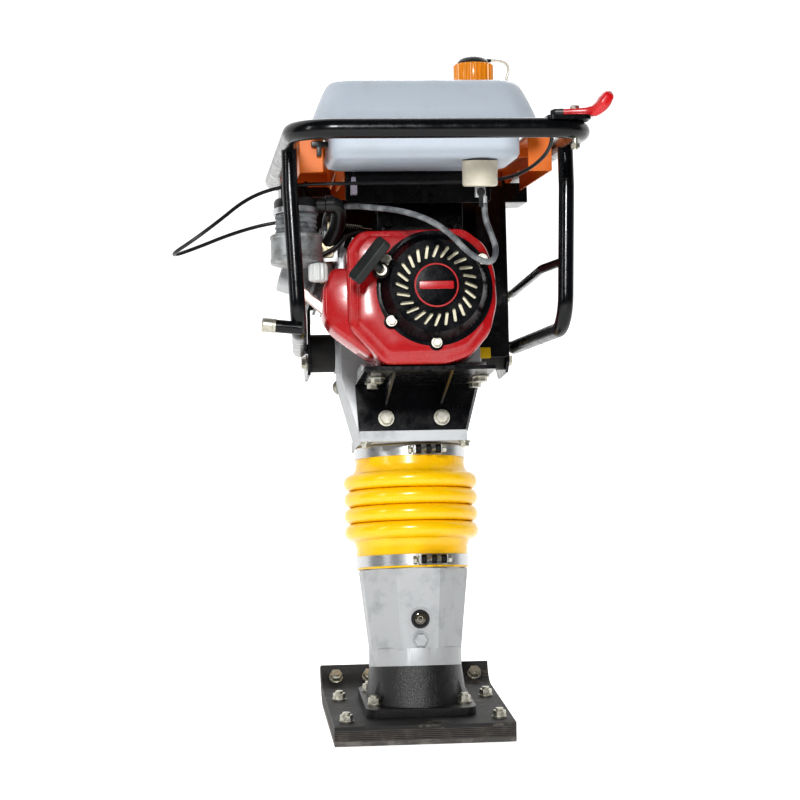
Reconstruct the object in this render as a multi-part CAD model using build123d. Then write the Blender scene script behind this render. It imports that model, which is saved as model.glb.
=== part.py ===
from build123d import *

import os
from math import atan, cos, degrees, pi, radians, sin, tan

# Jumping jack rammer. Millimetres. World frame: X to the operator's right, Y forward, Z up,
# with the origin at the middle of the shoe's flat sole.
# Machine frame: the world frame leaned forward by LEAN, so its z runs up the leg's axis.
# Rail frame: x as above, y forward along the handle's rails, z square to them.

LEAN = 11.0                # how far the leg leans forward, degrees
AXIS_Y = -17.0             # where the leg's axis meets the ground
RAIL_SLOPE = 4.7           # how far the handle's rails slope down towards the front, degrees
REAR_BAR_Y = -413.0        # the handle's rear bar
REAR_BAR_Z = 942.0

SHOE_WIDTH = 285.0
HEEL_Y = -150.0            # the rear end of the sole
BEND_Y = 138.0             # where the sole starts to turn up
TOE_CENTRE_Z = 76.0        # centre height of the turned-up toe
TOE_TURN = 72.0            # angle of the toe's arc
SOLE_THICK = 8.0
CORE_TOP = 25.0
SHOE_TOP = 31.0
SHOE_BOLT_R = 6.0
SHOE_BOLT_X = 121.0
SHOE_BOLT_YS = (-112.0, 48.0)
TOE_BOLTS = ((-118.0, 42.0), (-62.0, 42.0), (62.0, 42.0), (118.0, 42.0))
FOOT_STUD_X = 72.0
FOOT_STUD_YS = (-58.0, 48.0)
FLANGE_TOP = 45.0          # top of the foot's flange

CYLINDER_R = 63.95         # outside of the sliding spring cylinder
BORE_R = 56.0              # its bore
LEG_BASE = 96.0            # joint between foot and lower leg, up the axis
OCTAGON_LOW = 122.0
OCTAGON_HIGH = 250.0
APOTHEM_LOW = 72.0
APOTHEM_HIGH = 85.5
SPIGOT_R = 86.5            # lower seat of the bellows
LEG_TOP = 277.0
RING_ZS = (313.0, 339.7, 366.4, 393.1)
RING_R = 109.0
VALLEY_R = 95.7
NECK_LOW_R = 90.5
NECK_HIGH_R = 89.0
RUBBER = 4.0
NECK_R = 84.7              # the crankcase's neck, inside the bellows
CLAMP_THICK = 1.5

GUIDE_R = 70.0             # outside of the guide tube
GUIDE_BORE = 64.0
GUIDE_LOW = 290.0
GUIDE_TOP = 468.0
CASE_BASE = 451.0
CASE_FLOOR = 468.0
CASE_REAR = -70.0
CASE_FRONT = 62.0
WALL = 8.0

ENGINE_X = 12.0            # the engine's crankshaft axis
ENGINE_Z = 662.0
MODULE = 2.0
GEAR_TEETH = 76
PINION_TEETH = 14
GEAR_DISTANCE = MODULE * (GEAR_TEETH + PINION_TEETH) / 2
GEAR_Z = ENGINE_Z - (GEAR_DISTANCE ** 2 - ENGINE_X ** 2) ** 0.5
GEAR_REAR = -40.0
GEAR_FRONT = -18.0
CRANK_THROW = 28.0
ROD_LENGTH = 100.0
PIN_Z = GEAR_Z - CRANK_THROW       # crank pin, at the bottom of its turn
WRIST_Z = PIN_Z - ROD_LENGTH
SHAFT_R = 12.5

BED_REAR = -302.0          # the engine shelf
BED_FRONT = -106.0
BED_TOP = 547.0
BED_THICK = 6.0
ENGINE_FRONT = -118.0      # the engine's output face
BLOCK_REAR = -222.0
SHROUD_REAR = -318.0
RECOIL_REAR = -350.0
BARREL_TILT = 17.0         # the engine's cylinder rises to the left
BARREL_Y = -172.0

TUBE_R = 14.0              # handle tube
RAIL_X = 207.0
LOOP_LENGTH = 795.0
GUARD_R = 11.5
GUARD_Y = -393.0
MOUNT_Z = 608.0
MOUNT_R = 31.0
PLATE_X = 160.0
WALL_BOLTS = ((-110, 826), (-70, 826), (0, 826), (40, 826), (-30, 804), (40, 804))
PLATE_THICK = 5.0

LEVER_X = 193.0            # the throttle lever's pivot, in the rail frame
LEVER_Y = 18.0

MACHINE = Location((0, AXIS_Y, 0), (-LEAN, 0, 0))
RAILS = Location((0, REAR_BAR_Y, REAR_BAR_Z), (-RAIL_SLOPE, 0, 0))
LOW = (Align.CENTER, Align.CENTER, Align.MIN)


def up(x, y, z, radius, height):
    """A round bar that rises from a point."""
    return Pos(x, y, z) * Cylinder(radius, height, align=LOW)


def ahead(x, y, z, radius, depth):
    """A round bar that runs forward from a point."""
    return Pos(x, y, z) * Rot(-90, 0, 0) * Cylinder(radius, depth, align=LOW)


def across(x, y, z, radius, width):
    """A round bar that runs to the right from a point."""
    return Pos(x, y, z) * Rot(0, 90, 0) * Cylinder(radius, width, align=LOW)


def block(x_low, x_high, y_low, y_high, z_low, z_high):
    """A box between two corners."""
    middle = Pos((x_low + x_high) / 2, (y_low + y_high) / 2, (z_low + z_high) / 2)
    return middle * Box(x_high - x_low, y_high - y_low, z_high - z_low)


def plate_across(points, y_low, y_high):
    """A plate with its outline in x and z, between two depths."""
    outline = make_face(Polyline(*points, close=True))
    return extrude(Plane((0, y_high, 0), x_dir=(1, 0, 0), z_dir=(0, -1, 0)) * outline, y_high - y_low)


def plate_along(points, x_low, x_high):
    """A plate with its outline in y and z, between two widths."""
    outline = make_face(Polyline(*points, close=True))
    return extrude(Plane((x_low, 0, 0), x_dir=(0, 1, 0), z_dir=(1, 0, 0)) * outline, x_high - x_low)


def hex_bar(x, y, z, across_flats, height):
    """A hexagon that rises from a point, as on a nut."""
    return Pos(x, y, z) * extrude(RegularPolygon(across_flats / 2, 6, major_radius=False), height)


def pipe(points, radii, radius):
    """A round tube or bar along straight runs joined by arcs."""
    path = FilletPolyline(*points, radius=radii)
    section = Plane(origin=path @ 0, z_dir=path % 0) * Circle(radius)
    return sweep(section, path=path), path


def cord(name, points, diameter):
    """A cord's tube. Each arc is 0.45 of its shorter run over the tangent of half its turn."""
    places = [Vector(*point) for point in points]
    runs = [b - a for a, b in zip(places, places[1:])]
    radii = []
    for before, after in zip(runs, runs[1:]):
        turn = before.get_angle(after)
        radii.append(0.45 * min(before.length, after.length) / tan(radians(turn / 2)))
    tube, path = pipe(points, radii, diameter / 2)
    expected = pi * diameter ** 2 / 4 * path.length
    print(name, "length", round(path.length), "radii", [round(r) for r in radii],
          "volume ratio", round(tube.volume / expected, 4))
    return tube


# ---------------------------------------------------------------- shoe and foot

def shoe_layer(low, high):
    """One layer of the shoe: flat, then turned up round the toe's centre."""
    centre = (BEND_Y, TOE_CENTRE_Z)
    outer = TOE_CENTRE_Z - low
    inner = TOE_CENTRE_Z - high
    outer_arc = CenterArc(centre, outer, -90, TOE_TURN)
    inner_arc = CenterArc(centre, inner, -90, TOE_TURN)
    edges = [
        Line((HEEL_Y, low), (BEND_Y, low)),
        outer_arc,
        Line(outer_arc @ 1, inner_arc @ 1),
        inner_arc,
        Line((BEND_Y, high), (HEEL_Y, high)),
        Line((HEEL_Y, high), (HEEL_Y, low)),
    ]
    layer = extrude(Plane.YZ * make_face(edges), SHOE_WIDTH / 2, both=True)
    for place in shoe_bolt_places() + foot_stud_places():
        layer -= place * up(0, 0, -60, SHOE_BOLT_R + 0.1, 120)
        layer -= place * up(0, 0, 0, 12, 20)
    return layer


def shoe_bolt_places():
    """Where the bolts stand on the shoe's top, with z out of it."""
    places = []
    for x in (-SHOE_BOLT_X, SHOE_BOLT_X):
        for y in SHOE_BOLT_YS:
            places.append(Location((x, y, SHOE_TOP)))
    inner = TOE_CENTRE_Z - SHOE_TOP
    for x, turn in TOE_BOLTS:
        y = BEND_Y + inner * sin(radians(turn))
        z = TOE_CENTRE_Z - inner * cos(radians(turn))
        places.append(Location((x, y, z), (turn, 0, 0)))
    return places


def foot_stud_places():
    """Where the studs stand that hold the foot to the shoe."""
    return [Location((x, y, SHOE_TOP)) for x in (-FOOT_STUD_X, FOOT_STUD_X) for y in FOOT_STUD_YS]


def make_shoe_fasteners():
    """M12 bolts with washers and nuts, through the whole shoe."""
    fasteners = []
    for place in shoe_bolt_places():
        fasteners.append(place * shoe_fastener(0.0, 21.0))
    for place in foot_stud_places():
        fasteners.append(place * shoe_fastener(FLANGE_TOP - SHOE_TOP, 21.0))
    return fasteners


def shoe_fastener(seat, depth):
    """One bolt: its shank goes down by depth, and its washer and nut stand on the seat."""
    shank = up(0, 0, -depth, SHOE_BOLT_R, depth + seat + 15)
    washer = up(0, 0, seat, 11.5, 2.2)
    nut = hex_bar(0, 0, seat + 2.2, 18.0, 9.0)
    return shank + washer + nut


def make_foot_casting():
    """The iron foot: a square flange on the shoe and a taper up to the leg."""
    flange = block(-88, 88, -100, 88, SHOE_TOP, FLANGE_TOP)
    flange = fillet(flange.edges().filter_by(Axis.Z), 20)
    taper = MACHINE * Pos(0, 0, 20) * Cone(84, 75, LEG_BASE - 20, align=LOW)
    taper -= block(-200, 200, -200, 200, -60, SHOE_TOP)
    casting = flange + taper
    casting -= MACHINE * up(0, 0, 55, 58, 60)
    for place in foot_stud_places():
        casting -= place * up(0, 0, -5, SHOE_BOLT_R + 0.1, 60)
        casting -= place * up(0, 0, FLANGE_TOP - SHOE_TOP, 13.5, 60)
    return casting


# ---------------------------------------------------------------- leg

def octagon(apothem, z):
    """One section of the lower leg, with a flat towards the operator."""
    return Pos(0, 0, z) * RegularPolygon(apothem, 8, major_radius=False, rotation=22.5)


def leg_front(z):
    """Depth of the leg's rear-facing facet at a height."""
    share = (z - OCTAGON_LOW) / (OCTAGON_HIGH - OCTAGON_LOW)
    return -(APOTHEM_LOW + share * (APOTHEM_HIGH - APOTHEM_LOW))


def facet(z):
    """A frame on the leg's rear-facing facet, with its z straight out of it."""
    tilt = atan((APOTHEM_HIGH - APOTHEM_LOW) / (OCTAGON_HIGH - OCTAGON_LOW))
    return Location((2, leg_front(z), z), (90 + degrees(tilt), 0, 0))


def make_lower_leg():
    """The cast aluminium leg: a ring, an eight-sided taper and the bellows' seat."""
    ring = up(0, 0, LEG_BASE, 75, OCTAGON_LOW - LEG_BASE + 2)
    taper = loft([octagon(APOTHEM_LOW, OCTAGON_LOW), octagon(APOTHEM_HIGH, OCTAGON_HIGH)])
    spigot = up(0, 0, OCTAGON_HIGH, SPIGOT_R, LEG_TOP - OCTAGON_HIGH)
    leg = ring + taper + spigot
    leg -= up(0, 0, 112, CYLINDER_R, 200)
    leg -= up(0, 0, LEG_BASE, 50, 20)
    leg -= up(0, 0, 200, 74, 200)
    leg -= facet(170) * up(0, 0, -12, 10, 20)
    leg -= facet(137) * up(0, 0, -12, 6, 20)
    return leg


def make_oil_sight():
    """The round oil window, screwed into the leg."""
    bezel = up(0, 0, 0, 14.5, 5) - up(0, 0, 3, 9.5, 3)
    return facet(170) * (bezel + up(0, 0, -8, 9.9, 8))


def make_drain_plug():
    """The hexagon oil plug."""
    return facet(137) * (hex_bar(0, 0, 0, 19, 7) + up(0, 0, -8, 5.9, 8))


def make_spring_cylinder():
    """The steel tube that slides in the guide and holds the springs."""
    tube = up(0, 0, 112, CYLINDER_R, 293)
    return tube - up(0, 0, 122, BORE_R, 300)


def make_cylinder_cap():
    """The inner cap that guides the piston rod."""
    return up(0, 0, 331, BORE_R - 0.05, 10) - up(0, 0, 330, 14.05, 12)


def clamp_band(radius, low, high, lug_x):
    """A worm band with its two screw lugs at the operator's side."""
    band = up(0, 0, low, radius + CLAMP_THICK, high - low) - up(0, 0, low, radius, high - low)
    middle = (low + high) / 2
    for x in (lug_x - 20, lug_x + 20):
        lug = block(x - 3, x + 3, -radius - 10, -radius + 12, middle - 6, middle + 6)
        band += lug - up(0, 0, low - 5, radius, 40)
    screw = across(lug_x - 27, -radius - 6, middle, 2.9, 54)
    return band + screw


def ring_waves(outer, valley):
    """The arcs of the bellows' rings, from the lowest valley up."""
    half = (RING_ZS[1] - RING_ZS[0]) / 2
    return [ThreePointArc((valley, z - half), (outer, z), (valley, z + half)) for z in RING_ZS]


def make_bellows():
    """The rubber bellows: two necks and four round rings."""
    outside = ring_waves(RING_R, VALLEY_R)
    inside = ring_waves(RING_R - RUBBER, VALLEY_R - RUBBER)
    start, end = outside[0] @ 0, outside[-1] @ 1
    inner_start, inner_end = inside[0] @ 0, inside[-1] @ 1
    edges = [
        Polyline((SPIGOT_R, 252), (NECK_LOW_R, 252), (NECK_LOW_R, 292), start),
        *outside,
        Polyline(end, (NECK_HIGH_R, 416), (NECK_HIGH_R, 449), (NECK_R + 0.3, 449),
                 (NECK_R + 0.3, 416), inner_end),
        *inside,
        Polyline(inner_start, (SPIGOT_R, 292), (SPIGOT_R, 252)),
    ]
    return revolve(Plane.XZ * make_face(edges), Axis.Z)


def spring_envelope(low, high):
    """The space that one coil spring fills."""
    return up(0, 0, low, 52, high - low) - up(0, 0, low, 36, high - low)


def make_piston_rod():
    """The rod with its open yoke. The wrist pin moves in the yoke's slot."""
    base = WRIST_Z - 82
    rod = up(0, 0, 200, 14, base - 200)
    yoke = block(-20, 20, -17.5, 17.5, base, WRIST_Z + 16)
    slot = block(-21, 21, -13, 13, base + 12, WRIST_Z + 40)
    thread = up(0, 0, 190, 9, 12)
    return rod + (yoke - slot) + thread


def make_piston():
    """The spring plate, held on the rod by its nut."""
    plate = up(0, 0, 215, BORE_R - 0.4, 20) - up(0, 0, 214, 14.0, 22)
    nut = hex_bar(0, 0, 200, 36, 15) - up(0, 0, 199, 14.0, 17)
    return plate + nut


# ---------------------------------------------------------------- crankcase

def case_outline(inset):
    """The crankcase seen from behind: waisted at the flange and widest at its mounts."""
    wide = 113 - inset
    return (
        (-88 + inset, CASE_FLOOR), (88 - inset, CASE_FLOOR), (wide, 560), (wide, 640),
        (97 - inset, 715), (60, 742 - inset), (-60, 742 - inset), (-97 + inset, 715),
        (-wide, 640), (-wide, 560),
    )


def make_crankcase():
    """The cast housing: a neck in the bellows, the gear case and bosses for bearings and mounts."""
    case = plate_across(case_outline(0), CASE_REAR, CASE_FRONT)
    case += block(-88, 82, -112, 95, CASE_BASE, CASE_FLOOR)
    case += block(-85, 78, -106, CASE_REAR, CASE_FLOOR, 522)
    case += up(0, 0, 424, NECK_R, CASE_BASE - 424)
    for side in (-1, 1):
        case += across(side * 112 - 8, 0, MOUNT_Z, 34, 16)
        case += across(side * 99 - 8, 0, 700, 22, 16)
    case += ahead(0, -78, GEAR_Z, 34, 8)
    cavity = plate_across(case_outline(WALL), CASE_REAR + WALL, CASE_FRONT + 1)
    cavity -= block(-200, 200, -200, 200, 400, CASE_FLOOR + WALL)
    cavity -= ahead(0, -62, GEAR_Z, 34, 18)
    cavity -= ahead(ENGINE_X, -62, ENGINE_Z, 34, 17)
    case -= cavity
    case -= up(0, 0, 420, GUIDE_R, GUIDE_TOP - 420)
    case -= up(0, 0, 460, GUIDE_BORE, 30)
    case -= ahead(0, -76, GEAR_Z, 26, 40)
    case -= ahead(0, -80, GEAR_Z, 17, 40)
    case -= ahead(ENGINE_X, -60, ENGINE_Z, 26, 40)
    case -= ahead(ENGINE_X, -80, ENGINE_Z, 17, 60)
    for x in (-47, 42):
        case -= ahead(x, -130, 488, 5.1, 45)
    for x, z in cover_bolt_places():
        case -= ahead(x, CASE_FRONT - 16, z, 5.1, 20)
    return case


def cover_bolt_places():
    """Bolts round the crankcase's front cover, over its walls."""
    return ((-78, 492), (78, 492), (-106, 560), (106, 560), (-106, 640), (106, 640),
            (-50, 735), (50, 735))


def make_crankcase_cover():
    """The front cover with its stiffening dome."""
    cover = plate_across(case_outline(0), CASE_FRONT, CASE_FRONT + WALL)
    cover += Pos(0, CASE_FRONT + WALL, 600) * Rot(-90, 0, 0) * Cone(75, 62, 10, align=LOW)
    for x, z in cover_bolt_places():
        cover -= ahead(x, CASE_FRONT - 1, z, 5.1, 20)
    return cover


def make_guide_tube():
    """The tube in the crankcase's neck that the spring cylinder slides in."""
    tube = up(0, 0, GUIDE_LOW, GUIDE_R, GUIDE_TOP - GUIDE_LOW)
    return tube - up(0, 0, GUIDE_LOW, GUIDE_BORE, GUIDE_TOP - GUIDE_LOW)


def make_shaft_bearings():
    """Three alike ball bearings: two on the gear's shaft and one on the pinion's."""
    bearings = []
    for x, y, z in ((0, -75, GEAR_Z), (0, -60, GEAR_Z), (ENGINE_X, -60, ENGINE_Z)):
        bearings.append(ahead(x, y, z, 25.98, 15) - ahead(x, y - 1, z, SHAFT_R + 0.05, 17))
    return bearings


def gear_disc(teeth, x, z, y_low, y_high, shift):
    """A spur gear with straight-sided teeth. Shift turns it, in teeth."""
    pitch_r = MODULE * teeth / 2
    tip = pitch_r + 0.8 * MODULE
    root = pitch_r - 1.2 * MODULE
    step = 360 / teeth
    points = []
    for tooth in range(teeth):
        for radius, share in ((root, -0.34), (tip, -0.11), (tip, 0.11), (root, 0.34)):
            turn = radians((tooth + share + shift) * step)
            points.append((x + radius * sin(turn), z + radius * cos(turn)))
    return plate_across(points, y_low, y_high)


def make_crank_gear():
    """The big gear with its shaft and crank pin."""
    from_vertical = sin_angle(ENGINE_X / GEAR_DISTANCE)
    shift = (from_vertical * GEAR_TEETH / 360) % 1
    gear = gear_disc(GEAR_TEETH, 0, GEAR_Z, GEAR_REAR, GEAR_FRONT, shift)
    gear += ahead(0, -76, GEAR_Z, SHAFT_R, 76 + GEAR_REAR)
    gear += ahead(0, GEAR_REAR, PIN_Z, 12, 13 - GEAR_REAR)
    return gear


def sin_angle(ratio):
    """The angle in degrees of a small sine."""
    angle = ratio
    for _ in range(6):
        angle -= (sin(angle) - ratio) / cos(angle)
    return angle * 180 / pi


def make_clutch_drum():
    """The clutch drum with the pinion on its shaft."""
    from_vertical = sin_angle(ENGINE_X / GEAR_DISTANCE)
    shift = ((180 + from_vertical) * PINION_TEETH / 360 + 0.5) % 1
    drum = gear_disc(PINION_TEETH, ENGINE_X, ENGINE_Z, GEAR_REAR, GEAR_FRONT, shift)
    drum += ahead(ENGINE_X, -84, ENGINE_Z, SHAFT_R, 84 + GEAR_REAR)
    drum += ahead(ENGINE_X, -84, ENGINE_Z, 42, 4)
    drum += ahead(ENGINE_X, -112, ENGINE_Z, 42, 30) - ahead(ENGINE_X, -113, ENGINE_Z, 38.5, 29)
    return drum


def make_connecting_rod():
    """The connecting rod with its wrist pin, hanging from the crank pin."""
    big_end = ahead(0, -11, PIN_Z, 23, 22)
    small_end = ahead(0, -11, WRIST_Z, 18, 22)
    shank = block(-10, 10, -7, 7, WRIST_Z, PIN_Z)
    rod = big_end + small_end + shank
    rod -= ahead(0, -12, PIN_Z, 12.05, 24)
    return rod + ahead(0, -12.5, WRIST_Z, 9, 25)


# ---------------------------------------------------------------- engine bed and mounts

def make_engine_bracket():
    """The folded shelf that carries the engine, bolted to the crankcase's foot."""
    face = plate_across(((-91, 468.5), (80, 468.5), (98, 537), (98, BED_TOP - 1), (-95, BED_TOP - 1),
                         (-95, 537)), -112, BED_FRONT)
    shelf = block(-95, 105, BED_REAR, BED_FRONT, BED_TOP - BED_THICK, BED_TOP)
    bracket = face + shelf
    for x in (-48, 40):
        bracket += plate_along(((-111, 541.5), (-292, 541.5), (-111, 505)), x - 2, x + 2)
    for x in (-47, 42):
        bracket -= ahead(x, -120, 488, 5.1, 20)
    for x, y in engine_bolt_places():
        bracket -= up(x, y, 530, 5.1, 30)
    return bracket


def engine_bolt_places():
    """The engine's base pattern, 162 mm by 75 mm."""
    return tuple((ENGINE_X + dx, -178 + dy) for dx in (-81, 81) for dy in (-37.5, 37.5))


def hex_bolt(length):
    """An M10 bolt with its washer, its head towards +z and its shank down to -length."""
    return up(0, 0, 0, 13, 2) + hex_bar(0, 0, 2, 17, 7) + up(0, 0, -length, 5, length)


def make_hex_bolts():
    """The alike M10 bolts of the upper body."""
    bolts = []
    for x in (-47, 42):
        bolts.append(Pos(x, -112, 488) * Rot(90, 0, 0) * hex_bolt(24))
    for x, y in engine_bolt_places():
        bolts.append(Pos(x, y, BED_TOP - BED_THICK) * Rot(180, 0, 0) * hex_bolt(18))
    for x, z in cover_bolt_places():
        bolts.append(Pos(x, CASE_FRONT + WALL, z) * Rot(-90, 0, 0) * hex_bolt(20))
    for side in (-1, 1):
        face = side * (PLATE_X + PLATE_THICK)
        bolts.append(Pos(face, 0, MOUNT_Z - 15) * Rot(0, side * 90, 0) * hex_bolt(14))
        bolts.append(Pos(face, 0, 700) * Rot(0, side * 90, 0) * hex_bolt(14))
    return bolts


def make_rubber_mounts():
    """Four rubber blocks between the crankcase and the side plates."""
    mounts = []
    for side in (-1, 1):
        lower = across(side * 140 - 20, 0, MOUNT_Z, MOUNT_R, 40)
        lower -= across(side * 140 - 30, 0, MOUNT_Z - 15, 5.1, 60)
        upper = across(side * 133.5 - 26.5, 0, 700, 20, 53)
        upper -= across(side * 140 - 40, 0, 700, 5.1, 70)
        mounts.extend([lower, upper])
    return mounts


def make_side_plate(side):
    """A tall side plate, bolted to the rubber mounts and carried up to the rail."""
    points = ((-38, 585), (-20, 570), (70, 570), (112, 600), (104, 760), (80, 900), (-52, 885), (-46, 720))
    inner = side * PLATE_X
    outer = side * (PLATE_X + PLATE_THICK)
    plate = plate_along(points, min(inner, outer), max(inner, outer))
    tab = plate_along(((-40, 850), (60, 860), (60, 893), (-40, 882)), 0, RAIL_X - PLATE_X - 4)
    plate += Pos(min(side * (RAIL_X - 4), inner), 0, 0) * tab
    for z in (MOUNT_Z - 15, 700):
        plate -= across(side * PLATE_X - 20, 0, z, 5.1, 40)
    plate = MACHINE * plate
    return plate - RAILS * ahead(side * RAIL_X, 0, 0, TUBE_R, LOOP_LENGTH)


def make_cross_plate():
    """The wall between the two side plates, over the crankcase, with a folded lower edge and bolt heads."""
    brace = block(-PLATE_X, PLATE_X, 40, 45, 752, 872)
    brace += block(-PLATE_X, PLATE_X, 45, 70, 752, 757)
    for x, z in WALL_BOLTS:
        brace += ahead(x, 35, z, 6.5, 5)
    return brace


# ---------------------------------------------------------------- handle

def make_handle_loop():
    """The handle: one bent tube all round, with the throttle lever's tab."""
    corner = 62.0
    front_corner = 80.0
    half = LOOP_LENGTH / 2
    right, _ = pipe(((0, 0, 0), (RAIL_X, 0, 0), (RAIL_X, half, 0)), [corner], TUBE_R)
    ahead_right, _ = pipe(((RAIL_X, half, 0), (RAIL_X, LOOP_LENGTH, 0), (0, LOOP_LENGTH, 0)),
                          [front_corner], TUBE_R)
    half_loop = right + ahead_right
    loop = half_loop + mirror(half_loop, Plane.YZ)
    tab = block(150, 212, -12, 34, TUBE_R - 3, TUBE_R + 3)
    tab = fillet(tab.edges().filter_by(Axis.Z), 8)
    loop += tab
    loop -= up(LEVER_X, LEVER_Y, -20, 4.1, 60)
    return loop


def make_throttle_lever():
    """The lever: a hub on its pivot bolt, a flat arm and a finger that curves up."""
    hub = up(0, 0, 0, 14, 9)
    arm = block(-28, 0, -7, 7, 1, 8)
    stop = up(-28, 0, 1, 7, 7)
    path = [(6, 0, 7), (24, -6, 7), (40, -10, 16), (50, -12, 36)]
    finger, _ = pipe(path, [14, 14], 6.5)
    bolt = up(0, 0, -46, 4.0, 58) + hex_bar(0, 0, 9, 13, 6) + hex_bar(0, 0, -44, 13, 7)
    return Pos(LEVER_X, LEVER_Y, TUBE_R + 3.2) * (hub + arm + stop + finger + bolt)


def make_guard(side):
    """The tube that guards the engine on one side, from the rail down and forward to the plate."""
    x_top = side * 206.0
    x_low = side * 197.0
    end_x = side * (PLATE_X + PLATE_THICK + GUARD_R + 0.5)
    points = ((x_top, GUARD_Y, 866), (x_top, GUARD_Y, 800), (x_low, GUARD_Y, 590), (end_x, -16, 612))
    tube, _ = pipe(points, [400, 45], GUARD_R)
    if side > 0:
        bar, _ = pipe(((x_low + 4, GUARD_Y, 690), (end_x - 2, -330, 688), (end_x - 2, -20, 700)), [30], 6.5)
        tube += bar
    else:
        tube += Pos(x_low + 4, GUARD_Y + 6, 594) * Rot(0, -84, 0) * Cylinder(9.5, 58, align=LOW)
    tube += across(min(side * (PLATE_X + PLATE_THICK), end_x), -28, 612, 8, abs(end_x) - PLATE_X - PLATE_THICK)
    tube = MACHINE * tube
    return tube - RAILS * ahead(side * RAIL_X, -50, 0, TUBE_R + 0.05, LOOP_LENGTH)


# ---------------------------------------------------------------- tank and hood

TANK_X = -8.0              # tank's middle, in the rail frame
TANK_REAR = 92.0
TANK_FRONT = 312.0
TANK_FLANGE_Z = 24.0
TANK_TOP_Z = 88.0
TANK_LOW_Z = -30.0
TANK_WALL = 3.5
CAP_X = 76.0
CAP_Y = 222.0


def rounded(x_low, x_high, y_low, y_high, z, radius):
    """A rounded rectangle at a height."""
    middle = Pos((x_low + x_high) / 2, (y_low + y_high) / 2, z)
    return middle * RectangleRounded(x_high - x_low, y_high - y_low, radius)


def tank_body(inset):
    """The tank's outline, or its inside when inset: a deep lower box under a tapered top."""
    lower = extrude(rounded(TANK_X - 139 + inset, TANK_X + 139 - inset, TANK_REAR + 12 + inset,
                            TANK_FRONT - 12 - inset, TANK_LOW_Z + inset, 34 - inset),
                    TANK_FLANGE_Z - TANK_LOW_Z)
    top = loft([
        rounded(TANK_X - 166 + inset, TANK_X + 166 - inset, TANK_REAR + inset, TANK_FRONT - inset,
                TANK_FLANGE_Z + inset, 40 - inset),
        rounded(TANK_X - 141 + inset, TANK_X + 141 - inset, TANK_REAR + 36 + inset,
                TANK_FRONT - 26 - inset, TANK_TOP_Z - inset, 30 - inset),
    ])
    return lower + top


def make_fuel_tank():
    """The moulded tank with its filler neck and vent spout."""
    tank = tank_body(0)
    tank = fillet(tank.edges().group_by(Axis.Z)[-1], 9)
    tank -= tank_body(TANK_WALL)
    tank += up(CAP_X, CAP_Y, TANK_TOP_Z - 3, 20, 17) + up(CAP_X + 50, CAP_Y, TANK_TOP_Z - 3, 4, 9)
    return tank - up(CAP_X, CAP_Y, TANK_TOP_Z - 12, 16, 40)


def make_tank_cap():
    """The ribbed ring that screws onto the filler neck."""
    cap = up(CAP_X, CAP_Y, TANK_TOP_Z + 2, 28, 34)
    cap -= up(CAP_X, CAP_Y, TANK_TOP_Z + 1, 20.1, 14)
    cap -= up(CAP_X, CAP_Y, TANK_TOP_Z + 14, 20, 40)
    ribs = [Pos(CAP_X, CAP_Y, TANK_TOP_Z + 4) * Rot(0, 0, 15 * n) * Pos(28, 0, 0) * Cylinder(1.2, 30, align=LOW)
            for n in range(24)]
    return cap + ribs


def make_cap_vent():
    """The black middle of the cap, which stays still, with the vent hose's barb."""
    vent = up(CAP_X, CAP_Y, TANK_TOP_Z + 15, 19.9, 20)
    dome = Pos(CAP_X, CAP_Y, TANK_TOP_Z + 36.3) * Cone(24, 11, 9, align=LOW)
    stem = up(CAP_X, CAP_Y, TANK_TOP_Z + 34, 19.9, 3)
    return vent + stem + dome + across(CAP_X + 10, CAP_Y, TANK_TOP_Z + 41, 2.5, 17)


def make_hood():
    """The plastic hood in front of the tank: a top skin with skirts, and an ear beside the tank each side."""
    hood = block(-190, 190, 325, 700, 11, 14)
    hood += block(-190, 190, 697, 700, -40, 14)
    hood += block(-190, 190, 325, 328, -6, 14)
    for side in (-1, 1):
        outer = (min(side * 190, side * 187), max(side * 190, side * 187))
        inner = (min(side * 115, side * 112), max(side * 115, side * 112))
        ear = (min(side * 190, side * 154), max(side * 190, side * 154))
        hood += block(*outer, 200, 700, -40, 14)
        hood += block(*inner, 325, 700, -40, 14)
        hood += block(*ear, 200, 203, -40, 14)
        hood += block(*ear, 200, 328, 11, 14)
    hood = RAILS * hood
    return hood - MACHINE * block(-210, 210, -62, 120, 500, 900)


# ---------------------------------------------------------------- fuel system

BOWL = (72.0, -280.0)      # world x and y


def make_fuel_bowl():
    """The sediment bowl under the tank, with its seat."""
    bowl = up(*BOWL, 862, 26, 38)
    bowl = fillet(bowl.edges().group_by(Axis.Z)[0], 4)
    seat = up(*BOWL, 900, 15, 10)
    tank_side = RAILS * block(-200, 200, 0, 400, TANK_LOW_Z, 60)
    return bowl + seat - tank_side


def make_petcock_body():
    """The fuel tap under the bowl, with its outlet barb."""
    x, y = BOWL
    body = block(x - 7, x + 7, y - 7, y + 7, 846, 862)
    body += across(x - 6, y, 853, 5, 14)
    return body + up(x + 6, y - 2, 838, 4, 10)


def make_petcock_lever():
    """The tap's lever, which turns on the tap's rear face."""
    x, y = BOWL
    hub = ahead(x, y - 12.2, 854, 6, 5)
    blade = block(x - 3, x + 3, y - 11, y - 9, 832, 854)
    return hub + blade


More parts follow.
